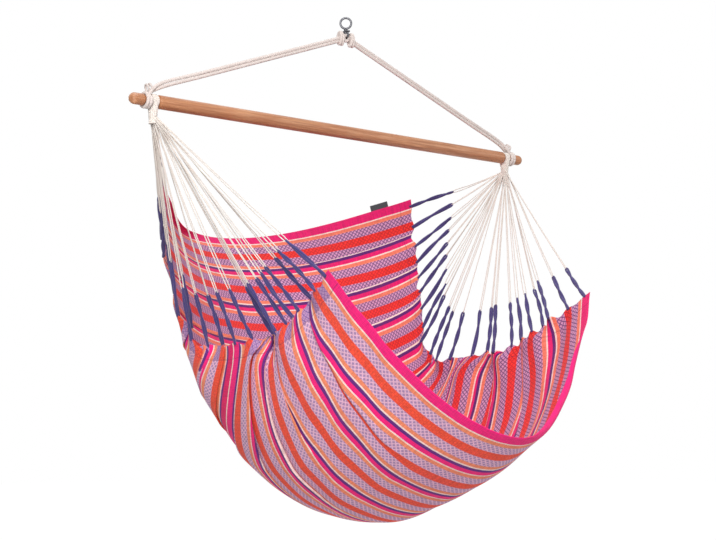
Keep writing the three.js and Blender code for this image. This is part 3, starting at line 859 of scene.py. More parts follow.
# %% Sections of the cloth
CLOTH_HALF_WIDTH = 0.428
CLOTH_REACH = 0.6
SEAT_DROP = 0.965
FOLD_DEPTH = 0.038
FOLD_WIDTH_SHARE = 0.03
CLOTH_SHARES = {
    "end_x": (0.98, 1.0, 1.0, 0.98, 0.965, 0.91, 0.92, 0.92, 0.935, 0.97, 1.0),
    "end_y": (0.34, 0.32, 0.3, 0.26, 0.2, 0.06, -0.17, -0.33, -0.45, -0.56, -0.72),
    "end_z": (0.11, 0.235, 0.335, 0.435, 0.53, 0.57, 0.56, 0.545, 0.515, 0.48, 0.42),
    "mid_y": (0.93, 0.73, 0.57, 0.4, 0.28, 0.07, -0.24, -0.46, -0.67, -0.84, -1.0),
    "mid_z": (0.225, 0.36, 0.505, 0.665, 0.83, 0.975, 1.0, 0.965, 0.915, 0.855, 0.79),
    "round_y": (2.0, 1.9, 1.9, 2.1, 2.5, 2.7, 2.4, 2.1, 1.9, 1.6, 1.5),
    "round_z": (2.6, 2.7, 2.7, 2.4, 2.1, 1.9, 1.75, 1.6, 1.6, 1.75, 1.95),
    "belly": (-0.12, -0.12, -0.08, 0.05, 0.22, 0.35, 0.38, 0.38, 0.32, 0.14, 0.02),
}
# Each main fold is a valley: place across the cut, depth, and reach from the end
FOLD_SHARES = (
    (0.115, 0.35, 0.5), (0.269, 0.5, 0.6), (0.385, 0.85, 0.5), (0.5, 0.7, 0.7),
    (0.654, 1.0, 0.85), (0.769, 0.5, 0.6), (0.885, 0.75, 0.55),
)


def cloth_share(name, v):
    """Smooth blend of one section value at v, from 0 at the back to 1 at the front."""
    values = np.array(CLOTH_SHARES[name])
    last = len(values) - 1
    along = np.clip(v, 0, 1) * last
    row = np.minimum(np.floor(along).astype(int), last - 1)
    t = along - row
    a, b, c, d = (values[np.clip(row + step, 0, last)] for step in (-1, 0, 1, 2))
    t2, t3 = t ** 2, t ** 3
    return ((2 * t3 - 3 * t2 + 1) * b + (t3 - 2 * t2 + t) * (c - a) / 2
            + (3 * t2 - 2 * t3) * c + (t3 - t2) * (d - b) / 2)


def cloth_sweep(u, v):
    x = np.sin(u * np.pi / 2)
    sag_y = 1 - np.abs(x) ** cloth_share("round_y", v)
    sag_z = 1 - np.abs(x) ** cloth_share("round_z", v)
    wide = x + cloth_share("belly", v) * x * (1 - x * x)
    end_y, end_z = cloth_share("end_y", v), cloth_share("end_z", v)
    return np.stack([
        CLOTH_HALF_WIDTH * cloth_share("end_x", v) * wide,
        CLOTH_REACH * (end_y + (cloth_share("mid_y", v) - end_y) * sag_y),
        BAR_Z - SEAT_DROP * (end_z + (cloth_share("mid_z", v) - end_z) * sag_z),
    ], -1)


def cloth_outward(u, v, step=1e-3):
    u_low = np.maximum(u - step, -1 + step / 2)
    u_high = np.minimum(u + step, 1 - step / 2)
    v_low, v_high = np.maximum(v - step, 0), np.minimum(v + step, 1)
    along_u = cloth_sweep(u_high, v) - cloth_sweep(u_low, v)
    along_v = cloth_sweep(u, v_high) - cloth_sweep(u, v_low)
    return unit(np.cross(along_u, along_v))


def fold_inset(u, v):
    total = np.zeros_like(u * v)
    for place, depth, reach in FOLD_SHARES:
        along = np.maximum(0, (np.abs(u) - 1 + reach) / reach)
        total += FOLD_DEPTH * depth * along ** 1.5 * np.exp(-((v - place) / FOLD_WIDTH_SHARE) ** 2)
    return total


def cloth_point(u, v):
    u, v = np.broadcast_arrays(np.asarray(u, float), np.asarray(v, float))
    return cloth_sweep(u, v) - cloth_outward(u, v) * fold_inset(u, v)[..., None]


# %% Where the fringe loops sit
LOOP_COUNT = 22
LOOP_LENGTH = 0.122
LOOP_SEAT = 0.0006
STRAND_ORIGIN_DROP = 0.00635
CAD_CELLS_DOWN = 26
CAD_CLOTH_THICKNESS = 0.003
# How far down the cloth each loop's foot is, in millimetres, from the back to the front
FEET_DROPS = {
    -1: (0, 0, 0, 0, 0, 0, 4, 14, 8, 4, 4, 0, 0, 0, 2, 6, 0, 4, 0, 6, 2, 0),
    1: (0, 0, 0, 0, 0, 0, 2, 8, 16, 14, 18, 10, 6, 4, 18, 8, 5, 0, 0, 10, 2, 0),
}
# A dropped foot heads for this share of the way from the middle to the end of its stripe
DROP_TOWARDS_SHARE = 0.9


def strand_origin(side):
    return np.array([side * GATHER_PLACE, 0, NECK_FOOT_Z - STRAND_ORIGIN_DROP])


def loop_ends(side, k):
    """The foot of loop k at the cloth's end, its tip, and the way from one to the other."""
    place = (k + 0.5) / LOOP_COUNT
    along = place * CAD_CELLS_DOWN
    cell = math.floor(along)
    before = cloth_point(side, cell / CAD_CELLS_DOWN)
    after = cloth_point(side, (cell + 1) / CAD_CELLS_DOWN)
    seat = before + (after - before) * (along - cell)
    towards = unit(strand_origin(side) - seat)
    foot = seat + towards * (CAD_CLOTH_THICKNESS / 2 + LOOP_SEAT)
    tip = foot + towards * LOOP_LENGTH
    down = unit(cloth_sweep(side * DROP_TOWARDS_SHARE, place) - cloth_sweep(side * 1.0, place))
    foot = foot + down * FEET_DROPS[side][k] * MM
    return foot, tip, unit(tip - foot)


print("loops at each end:", LOOP_COUNT, "and the first foot at", loop_ends(-1, 0)[0].round(3))

# %% [markdown]
# ## The cloth's folds
# The cut is far wider than the gathered ends, so the cloth lies there in long laps: a
# strip of it turns under, and its neighbour passes over. The laps narrow towards the
# middle, where the cloth is open. The mesh is a grid whose rows follow the laps.

# %% Laps
STRIPE_LENGTH = 1.25
HALF_STRIPE = STRIPE_LENGTH / 2
LAP_FALL = 1.15


class Lap:
    """A strip of cloth that lies hidden between its neighbours.

    places are its middle at the left and right ends, from the back selvedge. left and
    right are its hidden width at that end and how far it reaches towards the middle. A
    steady lap narrows evenly; the others share what spare cloth is left. over is 1 where
    the front part passes over it, seen from outside, and -1 where the back part does, for
    each half. depth makes its step higher. Lengths go in as millimetres and come out
    as metres.
    """

    def __init__(self, places, left, right, over, steady=False, depth=1.0):
        self.places = places
        self.left = left
        self.right = right
        self.over = over
        self.steady = steady
        self.depth = depth

    def middle(self, s):
        first, last = self.places
        return ((first + last) / 2 + (last - first) / 2 * s) * MM

    def width(self, s):
        from_end = (1 - np.abs(s)) * HALF_STRIPE
        most, reach = (np.where(s < 0, *pair) * MM for pair in zip(self.left, self.right))
        if self.steady:
            return most * np.maximum(1 - from_end / reach, 0) ** LAP_FALL
        return most * np.exp(-(from_end / reach) ** 2)

    def front_over(self, s):
        return np.where(s < 0, self.over[0], self.over[1])


LAPS = (
    Lap((126, 126), (22, 600), (28, 600), (1, -1), steady=True),
    Lap((249, 249), (22, 600), (28, 600), (1, -1), steady=True),
    Lap((372, 372), (22, 600), (28, 600), (1, -1), steady=True),
    Lap((495, 495), (22, 600), (28, 600), (-1, -1), steady=True),
    Lap((618, 618), (30, 500), (30, 500), (-1, -1)),
    Lap((722, 712), (30, 500), (6, 500), (-1, -1)),
    Lap((838, 796), (20, 700), (42, 450), (1, -1), depth=1.8),
    Lap((956, 908), (110, 220), (67, 400), (-1, -1), depth=1.3),
    Lap((1072, 1040), (40, 560), (4, 500), (-1, -1), steady=True, depth=3.0),
    Lap((1164, 1152), (80, 330), (75, 450), (-1, -1), steady=True, depth=1.3),
    Lap((1382, 1305), (80, 460), (62, 500), (1, -1), steady=True),
)
print("laps:", len(LAPS))

# %% The cloth's open shape, column by column
BASE_ROWS = 320
COLUMNS = 190
FINE_POINTS = 401
INSET_REACH = 0.06
ENDS_AND_MIDDLE = [0, -1, COLUMNS // 2]


def even_columns(v):
    """Values of u that split the stripe at v into even lengths, and its whole length."""
    u = np.linspace(-1, 1, FINE_POINTS)
    lengths = arc_lengths(cloth_point(u, v))
    return np.interp(np.linspace(0, lengths[-1], COLUMNS + 1), lengths, u), lengths[-1]


base_v = np.linspace(0, 1, BASE_ROWS + 1)
columns_made = [even_columns(v) for v in base_v]
base_u = np.array([u for u, _ in columns_made])
stripe_lengths = [length for _, length in columns_made]
print("stripe lengths", round(min(stripe_lengths), 3), "to", round(max(stripe_lengths), 3))
share_s = np.linspace(-1, 1, COLUMNS + 1)
from_end = (1 - np.abs(share_s)) * HALF_STRIPE
base_grid_v = np.broadcast_to(base_v[:, None], base_u.shape)
base_out = cloth_outward(base_u, base_grid_v)
inset = fold_inset(base_u, base_grid_v) * np.exp(-(from_end / INSET_REACH) ** 2)
base_points = cloth_sweep(base_u, base_grid_v) - base_out * inset[..., None]
inward = unit(np.gradient(base_points, axis=1)) * -np.sign(share_s)[None, :, None]
across_steps = np.linalg.norm(np.diff(base_points, axis=0), axis=-1)
base_arc = np.concatenate([np.zeros((1, COLUMNS + 1)), np.cumsum(across_steps, axis=0)])
print("open width at the ends and in the middle", base_arc[-1, ENDS_AND_MIDDLE].round(3))

# %% The spare cloth of each column, shared out to the laps
CLOTH_CUT = 1.554
SPARE_SOFTNESS = 0.04
LEAST_LEFT = 0.004
spare = CLOTH_CUT - base_arc[-1]
spare = (spare + np.sqrt(spare ** 2 + SPARE_SOFTNESS ** 2)) / 2
widths = [lap.width(share_s) for lap in LAPS]
steady = sum(width for lap, width in zip(LAPS, widths) if lap.steady)
sharing = sum(width for lap, width in zip(LAPS, widths) if not lap.steady)
rest = np.maximum(spare - steady, LEAST_LEFT) / sharing
hidden_widths = [width if lap.steady else width * rest for lap, width in zip(LAPS, widths)]
print("spare width at the ends and in the middle", spare[ENDS_AND_MIDDLE].round(3))

# %% Rows that follow the laps
ROW_STEP = 0.0046
STRIP_LEAST = 0.012
STRIP_SHARES = (0.03, 0.08, 0.15, 0.26, 0.38, 0.45, 0.5, 0.55, 0.62, 0.74, 0.85, 0.92, 0.97, 1)


def lap_rows():
    """Places across the cut for each row and column, from the back selvedge."""
    edges = [np.zeros_like(share_s)]
    for lap, hidden in zip(LAPS, hidden_widths):
        half = np.maximum(hidden, STRIP_LEAST) / 2
        edges += [lap.middle(share_s) - half, lap.middle(share_s) + half]
    edges.append(np.full_like(share_s, CLOTH_CUT))
    rows = [edges[0]]
    for number, (low, high) in enumerate(zip(edges, edges[1:])):
        shares = STRIP_SHARES
        if number % 2 == 0:
            count = max(2, round(float((high - low).max()) / ROW_STEP))
            shares = np.arange(1, count + 1) / count
        rows += [low + (high - low) * share for share in shares]
    return np.array(rows)


cut_place = lap_rows()
print("rows", cut_place.shape[0], "and columns", cut_place.shape[1])

# %% Where each row lies: hidden under its neighbour, and how high its layer is
OVERLAP_MOST = 0.022
LAP_SPREAD = 0.028
LAP_RISE = 0.0022
LAP_RISE_SHARE = 0.01
LAP_FULL_WIDTH = 0.02
LOOPS_REACH = 0.05
LOOPS_LAP_SHARE = 0.35
LEAST_WIDTH = 1e-6
# Height of the layers across a strip whose back part passes over, from 1 to -1
LAYER_PLACE_SHARES = (0, 0.12, 0.45, 0.58, 1)
LAYER_HEIGHT_SHARES = (1, -0.35, -0.35, -1, -1)
seen_place = cut_place.copy()
overlap = np.zeros_like(cut_place)
lap_height = np.zeros_like(cut_place)
near_loops = LOOPS_LAP_SHARE + (1 - LOOPS_LAP_SHARE) * np.clip(from_end / LOOPS_REACH, 0, 1)
for lap, hidden in zip(LAPS, hidden_widths):
    start = lap.middle(share_s) - hidden / 2
    over = lap.front_over(share_s)
    seen_place -= np.clip(cut_place - start, 0, hidden)
    x = np.clip((cut_place - start) / np.maximum(hidden, LEAST_WIDTH), 0, 1)
    overlap += over * np.minimum(hidden / 2, OVERLAP_MOST) * (1 - np.abs(2 * x - 1))
    height = lap.depth * (LAP_RISE + LAP_RISE_SHARE * hidden) * np.clip(hidden / LAP_FULL_WIDTH, 0, 1)
    back = np.maximum(start - cut_place, 0)
    front = np.maximum(cut_place - start - hidden, 0)
    layers = np.interp(np.where(over > 0, 1 - x, x), LAYER_PLACE_SHARES, LAYER_HEIGHT_SHARES)
    lap_height += height * near_loops * layers * np.exp(-(back + front) / LAP_SPREAD)
arc_scale = base_arc[-1] / (CLOTH_CUT - sum(hidden_widths))
seen_arc = np.clip(seen_place * arc_scale + overlap, 0, base_arc[-1])
print("stripe scale at the ends and in the middle", arc_scale[ENDS_AND_MIDDLE].round(2))


def at_arc(values):
    """Values of the open shape at the arc lengths of the lapped grid."""
    lapped = np.empty((*seen_arc.shape, 3))
    for j in range(COLUMNS + 1):
        for axis in range(3):
            lapped[:, j, axis] = np.interp(seen_arc[:, j], base_arc[:, j], values[:, j, axis])
    return lapped


surface_out = unit(at_arc(base_out))
moved = at_arc(base_points) + surface_out * lap_height[..., None]

# %% Rolled selvedges
# Each roll: from the back edge (0) or the front edge (1), middle and reach along the stripe
ROLLS = ((0, -0.42, 0.38), (1, 0.42, 0.4))
ROLL_WIDTH = 0.024
ROLL_RADIUS = 0.0095
edge_way = unit(np.gradient(moved, axis=0))
for front, middle, reach in ROLLS:
    from_edge = CLOTH_CUT - cut_place if front else cut_place
    strength = np.exp(-((share_s - middle) / reach) ** 4)
    rolled = np.maximum(ROLL_WIDTH - from_edge, 0) * strength
    turn = rolled / ROLL_RADIUS
    along_step = (ROLL_RADIUS * np.sin(turn) - rolled) * (1 if front else -1)
    under_step = ROLL_RADIUS * (1 - np.cos(turn))
    moved += edge_way * along_step[..., None] - surface_out * under_step[..., None]

# %% Puffs and arcs between the loops
PUFF = 0.0025
PUFF_REACH = 0.12
ARC_DEPTH = 0.012
ARC_REACH = 0.03
# Each puff and arc takes shares of these sizes from within a range
PUFF_SHARES = (-0.3, 1)
PUFF_REACH_SHARES = (0.6, 1.5)
ARC_SHARES = (0.2, 1.1)
LEAST_LENGTH = 1e-9
rng = np.random.default_rng(7)
foot_v = (np.arange(LOOP_COUNT) + 0.5) / LOOP_COUNT
inward_way = unit(at_arc(inward) + LEAST_LENGTH)
for side in SIDES.values():
    columns = np.flatnonzero(share_s * side > 0)
    feet_arcs = np.array([np.interp(foot_v, base_v, base_arc[:, j]) for j in columns]).T
    for low, high in zip(feet_arcs, feet_arcs[1:]):
        t = np.clip((seen_arc[:, columns] - low) / (high - low), 0, 1)
        bump = np.sin(np.pi * t) ** 2
        puff_height = rng.uniform(*PUFF_SHARES) * PUFF
        puff_reach = PUFF_REACH * rng.uniform(*PUFF_REACH_SHARES)
        arc_depth = rng.uniform(*ARC_SHARES) * ARC_DEPTH
        puff = puff_height * np.exp(-(from_end[columns] / puff_reach) ** 2)
        arc = arc_depth * np.exp(-from_end[columns] / ARC_REACH)
        moved[:, columns] += surface_out[:, columns] * (puff * bump)[..., None]
        moved[:, columns] += inward_way[:, columns] * (arc * bump)[..., None]

# %% Soft folds and wrinkles
# Each fold in millimetres: side, place from the front selvedge, height outwards, half
# width and reach from the end
SOFT_FOLDS = (
    (1, 112, 15, 34, 170), (1, 178, -11, 28, 150), (1, 340, -9, 30, 160), (1, 560, -8, 34, 150),
    (-1, 300, 7, 36, 240), (-1, 515, -8, 26, 260), (-1, 660, 7, 34, 220), (-1, 900, 8, 40, 200),
)
FOLDS_START = 0.03
WRINKLE = 0.0003
WRINKLE_WAVES = 22
WRINKLE_MIDDLE_SHARE = 0.5
ALONG_RATES = (2, 9)
ACROSS_RATES = (8, 70)
WAVE_SHARES = (0.3, 1.0)
near = np.clip(from_end / FOLDS_START, 0, 1)[None, :]
for side, place, height, half_width, reach in SOFT_FOLDS:
    across = (CLOTH_CUT - cut_place - place * MM) / (half_width * MM)
    along = (from_end / (reach * MM))[None, :]
    fold = height * MM * np.exp(-across ** 2 - along ** 2) * near * (share_s * side > 0)
    moved += surface_out * fold[..., None]
waves = np.zeros_like(seen_arc)
for _ in range(WRINKLE_WAVES):
    along_rate = rng.uniform(*ALONG_RATES)
    across_rate = rng.uniform(*ACROSS_RATES)
    phase = rng.uniform(0, 2 * np.pi)
    size = rng.uniform(*WAVE_SHARES)
    waves += size * np.sin(along_rate * share_s + across_rate * seen_arc + phase)
moved += surface_out * (waves * WRINKLE * (WRINKLE_MIDDLE_SHARE + np.abs(share_s)))[..., None]

# %% Pull the ends onto the loops
# The two edges of a wide lap follow the loops next to them, each on its own side
WIDE_LAP = 0.03
LAP_EDGE = 0.0005
PULL_REACH = 0.08


def seen_from(place, column):
    """The seen width from the back selvedge to a place across the cut, in one column."""
    seen = place
    for lap, hidden in zip(LAPS, hidden_widths):
        start = lap.middle(share_s[column]) - hidden[column] / 2
        seen -= np.clip(place - start, 0, hidden[column])
    return seen


for side in SIDES.values():
    column = 0 if side < 0 else COLUMNS
    feet = np.array([loop_ends(side, k)[0] for k in range(LOOP_COUNT)])
    held = np.stack([np.interp(foot_v, base_v, base_points[:, column, axis]) for axis in range(3)], -1)
    feet_seen = np.interp(foot_v, base_v, base_arc[:, column]) / arc_scale[column]
    knots = list(zip(feet_seen, feet - held))
    for lap, hidden in zip(LAPS, hidden_widths):
        seen = seen_from(lap.middle(share_s[column]) - hidden[column] / 2, column)
        after = int(np.searchsorted(feet_seen, seen))
        if hidden[column] > WIDE_LAP and 0 < after < LOOP_COUNT:
            knots += [(seen - LAP_EDGE, knots[after - 1][1]), (seen + LAP_EDGE, knots[after][1])]
    knots = sorted(knots, key=lambda knot: knot[0])
    places = np.array([place for place, _ in knots])
    moves = np.array([move for _, move in knots])
    pull = np.stack([np.interp(seen_place[:, column], places, moves[:, axis]) for axis in range(3)], -1)
    fade = np.exp(-(from_end / PULL_REACH) ** 2) * (share_s * side > 0)
    moved += pull[:, None, :] * fade[None, :, None]

# %% Cloth mesh with an outside and an inside
CLOTH_THICKNESS = 0.0014


def surface_normals(grid):
    return unit(np.cross(np.gradient(grid, axis=1), np.gradient(grid, axis=0)))


half_thickness = surface_normals(moved) * (CLOTH_THICKNESS / 2)
along_cut = np.broadcast_to(share_s * HALF_STRIPE, cut_place.shape)
cloth_places = np.stack([along_cut, cut_place], -1)
cloth = Shape()
outer_first = cloth.add_grid(moved + half_thickness, cloth_places)
inner_first = cloth.add_grid(moved - half_thickness, cloth_places, slot=1, flip=True)


def rim(indices, flip):
    """Faces that close the cloth's edge along one run of grid points."""
    a, b = indices[:-1], indices[1:]
    corners = np.stack([outer_first + a, inner_first + a, inner_first + b, outer_first + b], -1)
    flat_places = cloth_places.reshape(-1, 2)
    spots = np.stack([flat_places[a], flat_places[a], flat_places[b], flat_places[b]], -2)
    if flip:
        corners = corners[:, ::-1]
        spots = spots[:, ::-1]
    cloth.add_faces(corners, spots)


index = np.arange(cut_place.size).reshape(cut_place.shape)
rim(index[0], False)
rim(index[-1], True)
rim(index[:, 0], True)
rim(index[:, -1], False)

# %% [markdown]
# ## The striped weave
# The stripes run from end to end, so their colour depends only on the place across the
# cut. A centre stripe group is mirrored outwards: six wide blocks of cream, orange,
# lilac and red, with narrow pink and purple pairs between them, and a pink selvedge. The
# lilac bands carry a net of small diamonds, which is a common woven pattern.

# %% Stripe colours and widths
YARN = {
    "cream": srgb(255, 224, 216), "orange": srgb(250, 142, 102), "lilac": srgb(206, 152, 192),
    "red": srgb(252, 84, 52), "pink": srgb(252, 14, 124), "crimson": srgb(232, 6, 100),
    "purple": srgb(98, 28, 126),
}
CENTRE_STRIPES = (("purple", 7), ("crimson", 20), ("cream", 4), ("pink", 20), ("purple", 7))
BLOCK_STRIPES = (
    ("cream", 4), ("orange", 10.5), ("lilac", 25), ("red", 24), ("lilac", 25),
    ("orange", 10.5), ("cream", 4), ("pink", 12), ("purple", 9),
)
BLOCK = dict(BLOCK_STRIPES)
CENTRE_WIDTH = sum(width for _, width in CENTRE_STRIPES) * MM
BLOCK_WIDTH = sum(width for _, width in BLOCK_STRIPES) * MM
BLOCK_MIDDLE = (BLOCK["cream"] + BLOCK["orange"] + BLOCK["lilac"] + BLOCK["red"] / 2) * MM
HALF_RED = BLOCK["red"] / 2 * MM
SELVEDGE_WIDTH = 25 * MM
BORDER_WIDTH = 0.036
print("stripe group in the middle", CENTRE_WIDTH, "m wide, and each block", BLOCK_WIDTH, "m")


def stripe_ramp(r, distance, stripes, colours):
    """A ramp with one flat step for each stripe, from widths in millimetres."""
    node = r.add("ShaderNodeValToRGB", {"Fac": distance})
    ramp = node.color_ramp
    ramp.interpolation = "CONSTANT"
    total = sum(width for _, width in stripes)
    edge = 0.0
    for number, (name, width) in enumerate(stripes):
        step = ramp.elements[0] if number == 0 else ramp.elements.new(edge / total)
        step.position = edge / total
        step.color = colours[name]
        edge += width
    ramp.elements.remove(ramp.elements[-1])
    return node.outputs["Color"]


def stripe_effect(name, colours):
    """Colour, band masks and the place in the block, at a place across the cut."""
    tree, r, given, result = effect(name, {"Across": 0.0}, ("Color", "Lilac", "Red", "Place"))
    from_centre = r.sum("SUBTRACT", given["Across"], CLOTH_CUT / 2)
    distance = r.sum("ABSOLUTE", from_centre)
    block = r.sum("FRACT", r.sum("DIVIDE", r.sum("SUBTRACT", distance, CENTRE_WIDTH / 2), BLOCK_WIDTH))
    centre = r.sum("MULTIPLY_ADD", from_centre, 1 / CENTRE_WIDTH, 0.5)
    in_centre = r.sum("LESS_THAN", distance, CENTRE_WIDTH / 2)
    in_selvedge = r.sum("GREATER_THAN", distance, CLOTH_CUT / 2 - SELVEDGE_WIDTH)
    colour = stripe_ramp(r, block, BLOCK_STRIPES, colours)
    colour = r.mix(in_centre, colour, stripe_ramp(r, centre, CENTRE_STRIPES, colours))
    colour = r.mix(in_selvedge, colour, colours["pink"])
    r.feed(result["Color"], colour)
    from_middle = r.sum("ABSOLUTE", r.sum("MULTIPLY_ADD", block, BLOCK_WIDTH, -BLOCK_MIDDLE))
    r.feed(result["Place"], r.sum("SUBTRACT", from_middle, HALF_RED))
    plain = r.sum("SUBTRACT", 1.0, r.sum("MAXIMUM", in_centre, in_selvedge))
    for label in ("lilac", "red"):
        black_white = {name: WHITE if name == label else (0, 0, 0, 1) for name in colours}
        mask = r.add("ShaderNodeRGBToBW", {"Color": stripe_ramp(r, block, BLOCK_STRIPES, black_white)})
        r.feed(result[label.capitalize()], r.sum("MULTIPLY", mask.outputs[0], plain))
    return tree


# %% The diamond net
NET, r, given, result = effect(
    "diamond net", {"Along": 0.0, "Across": 0.0, "Long": 0.0125, "Wide": 0.0125}, ("Lines", "Middles")
)
down = r.sum("DIVIDE", given["Along"], given["Long"])
side_way = r.sum("DIVIDE", given["Across"], given["Wide"])
lines = [zigzag(r, way, down, side_way) for way in ("ADD", "SUBTRACT")]
peak = r.sum("MAXIMUM", *lines)
r.feed(result["Lines"], r.smooth(peak, 0.66, 0.88))
r.feed(result["Middles"], r.smooth(peak, 0.62, 0.3))

# %% Both sides of the cloth
BORDER_BLUR = 0.002
THREAD_WOBBLE = 0.0008


def cloth_finish(name, colours, lines, middles, border_lines, red_lines, strengths):
    """One side of the cloth, with its own yarn colours and its own colours of the net.

    strengths say how much of the net's lines, of its middles, and of its lines in the
    red bands shows.
    """
    material, r, ports = finish(name, Roughness=0.85, Sheen_Weight=0.06, Sheen_Roughness=0.5)
    line_strength, middle_strength, red_strength = strengths
    along, across, vector = r.place()
    drift = r.noise(vector, scale=55.0, detail=2.0)
    wobble = r.sum("MULTIPLY_ADD", drift, 2 * THREAD_WOBBLE, -THREAD_WOBBLE)
    stripes = r.use(stripe_effect(f"{name} stripes", colours), Across=r.sum("ADD", across, wobble))
    net = r.use(NET, Along=along, Across=stripes["Place"])
    end = r.sum("SUBTRACT", HALF_STRIPE, r.sum("ABSOLUTE", along))
    border = r.smooth(end, BORDER_WIDTH - BORDER_BLUR, BORDER_WIDTH + BORDER_BLUR, 1.0, 0.0)
    middle_mask = r.sum("MULTIPLY", r.sum("MULTIPLY", net["Middles"], stripes["Lilac"]), middle_strength)
    line_mask = r.sum("MULTIPLY", r.sum("MULTIPLY", net["Lines"], stripes["Lilac"]), line_strength)
    red_share = r.smooth(border, 0.0, 1.0, red_strength, 0.8)
    red_mask = r.sum("MULTIPLY", r.sum("MULTIPLY", net["Lines"], stripes["Red"]), red_share)
    colour = r.mix(middle_mask, stripes["Color"], middles)
    colour = r.mix(line_mask, colour, r.mix(border, lines, border_lines))
    colour = r.mix(red_mask, colour, red_lines)
    seam = r.smooth(r.sum("ABSOLUTE", r.sum("SUBTRACT", end, BORDER_WIDTH)), 0.0005, 0.0018, 0.4, 0.0)
    colour = r.mix(seam, colour, srgb(110, 26, 70))
    weave = r.use(WEAVE, Along=along, Across=across)
    colour = r.mix(1.0, colour, r.join(weave["Shade"], weave["Shade"], weave["Shade"]), "MULTIPLY")
    soil = r.use(SOIL, Vector=vector, Scale=5.0, Amount=0.1)["Mask"]
    colour = r.mix(soil, colour, srgb(178, 60, 96))
    r.feed(ports["Base Color"], colour)
    height = r.sum("MULTIPLY_ADD", net["Lines"], 0.6, weave["Height"])
    r.feed(ports["Normal"], r.bump(height, distance=0.0004, strength=0.6))
    return material


INSIDE_YARN = dict(
    YARN, red=srgb(248, 48, 40), lilac=srgb(216, 150, 192), orange=srgb(248, 128, 100),
    pink=srgb(236, 12, 110), purple=srgb(92, 24, 112),
)
CLOTH_OUTSIDE = cloth_finish(
    "striped_cloth_outside", YARN, lines=srgb(250, 206, 222), middles=srgb(150, 128, 178),
    border_lines=srgb(92, 74, 150), red_lines=srgb(226, 52, 44), strengths=(0.8, 0.75, 0.4),
)
CLOTH_INSIDE = cloth_finish(
    "striped_cloth_inside", INSIDE_YARN, lines=srgb(74, 48, 104), middles=srgb(222, 180, 214),
    border_lines=srgb(60, 42, 110), red_lines=srgb(176, 18, 30), strengths=(0.9, 0.5, 0.55),
)
seat = cloth.build("seat_cloth_woven", CLOTH_OUTSIDE, CLOTH_INSIDE)
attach(seat, "seat")
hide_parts("seat_cloth")
print("cloth:", len(seat.data.polygons), "faces")

# %% [markdown]
# ## The fringe loops
# The warp threads leave the cloth in twisted bundles. Each bundle goes up to a small eye,
# turns and comes back wound about itself, and a cord passes through the eye.

# %% The route of a fringe loop
BUNDLE_RADIUS = 0.0032
BUNDLE_POINTS = 34
BUNDLE_BEND = 0.003
FOOT_DEPTH = 0.006
FOOT_REACH = 0.018
HALF_PLACE_SHARE = 0.78
FOOT_PLACE_SHARE = 0.3
EYE_REACH = 0.014
EYE_HALF_WIDTH = 0.0044
EYE_POINTS = 13
TWISTS = (0.5, 1.6)
THICKNESS_SHARES = (0.9, 1.08)


def loop_route(side, k):
    """Up one half of the bundle, round its eye and back down the other half.

    With it come the way across the eye, and the place in the eye where the cord turns.
    """
    foot, tip, towards = loop_ends(side, k)
    across = unit(np.cross([0, 1, 0], towards))
    through = np.cross(towards, across)
    wobble = rng.uniform(-1, 1, 2) * BUNDLE_BEND
    start_turn = rng.uniform(0, 2 * np.pi)
    length = np.linalg.norm(tip - foot)
    s = np.linspace(-FOOT_DEPTH, length - EYE_REACH, BUNDLE_POINTS)
    bend = np.sin(np.pi * np.clip(s / length, 0, 1))[:, None]
    middle = foot + s[:, None] * towards + bend * (wobble[0] * across + wobble[1] * through)
    twists = rng.uniform(*TWISTS) * rng.choice((-1, 1))
    turn = start_turn + 2 * np.pi * twists * s / length
    narrowing = FOOT_PLACE_SHARE * np.exp(-np.maximum(s, 0) / FOOT_REACH)
    spread = BUNDLE_RADIUS * (HALF_PLACE_SHARE - narrowing)
    out = np.cos(turn)[:, None] * across + np.sin(turn)[:, None] * through
    up_half = middle + out * spread[:, None]
    down_half = middle - out * spread[:, None]
    arc = np.linspace(0, np.pi, EYE_POINTS + 2)[1:-1]
    rise = (EYE_REACH * np.sin(arc))[:, None] * towards
    width = spread[-1] + (EYE_HALF_WIDTH - spread[-1]) * np.sin(arc)
    loop_eye = middle[-1] + rise + (width * np.cos(arc))[:, None] * out[-1]
    cord_turn = middle[-1] + towards * (EYE_REACH - BUNDLE_RADIUS)
    return np.concatenate([up_half, loop_eye, down_half[::-1]]), out[-1], cord_turn


# %% Fringe loops
EYE_THINNING_SHARE = 0.28
EYE_THINNING_REACH_SHARE = 0.16
loop_eyes = {}
for side_name, side in SIDES.items():
    for k in range(LOOP_COUNT):
        route, eye_out, cord_turn = loop_route(side, k)
        loop_eyes[side, k] = (cord_turn, eye_out)
        from_eye = np.linspace(-1, 1, len(route))
        thinning = EYE_THINNING_SHARE * np.exp(-(from_eye / EYE_THINNING_REACH_SHARE) ** 2)
        radius = BUNDLE_RADIUS * (1 - thinning) * rng.uniform(*THICKNESS_SHARES)
        loop = Shape()
        tube(loop, route, radius, sides=10, first=eye_out)
        node = f"fringe_loop_{side_name}_{k + 1:02d}"
        piece = loop.build(f"twisted_{node}", FRINGE_FINISH)
        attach(piece, "seat")
        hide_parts(node)
print("fringe loops:", len(loop_eyes))

# %% [markdown]
# ## The cord fans
# One cord goes down from the bar end to each loop, through its eye and back up, so each
# loop hangs on two thin cords. All of them meet in a bound throat below the gather eye.

# %% The route of a cord
CORD_RADIUS = 0.00125
CORD_SAG = 0.004
CORD_SHARES = np.array([0.0, 0.02, 0.25, 0.5, 0.75, 1.0])[:, None]
STRAND_ROW = 0.011
STRAND_STAGGER = 0.0035
THROAT_RISE = 0.009
THROAT_HALF_GAP = 0.0011
LOOP_RISE = 0.012
LOOP_HALF_GAP = 0.0034
LOOP_SLACK = 0.0004
UP = np.array([0, 0, 1])


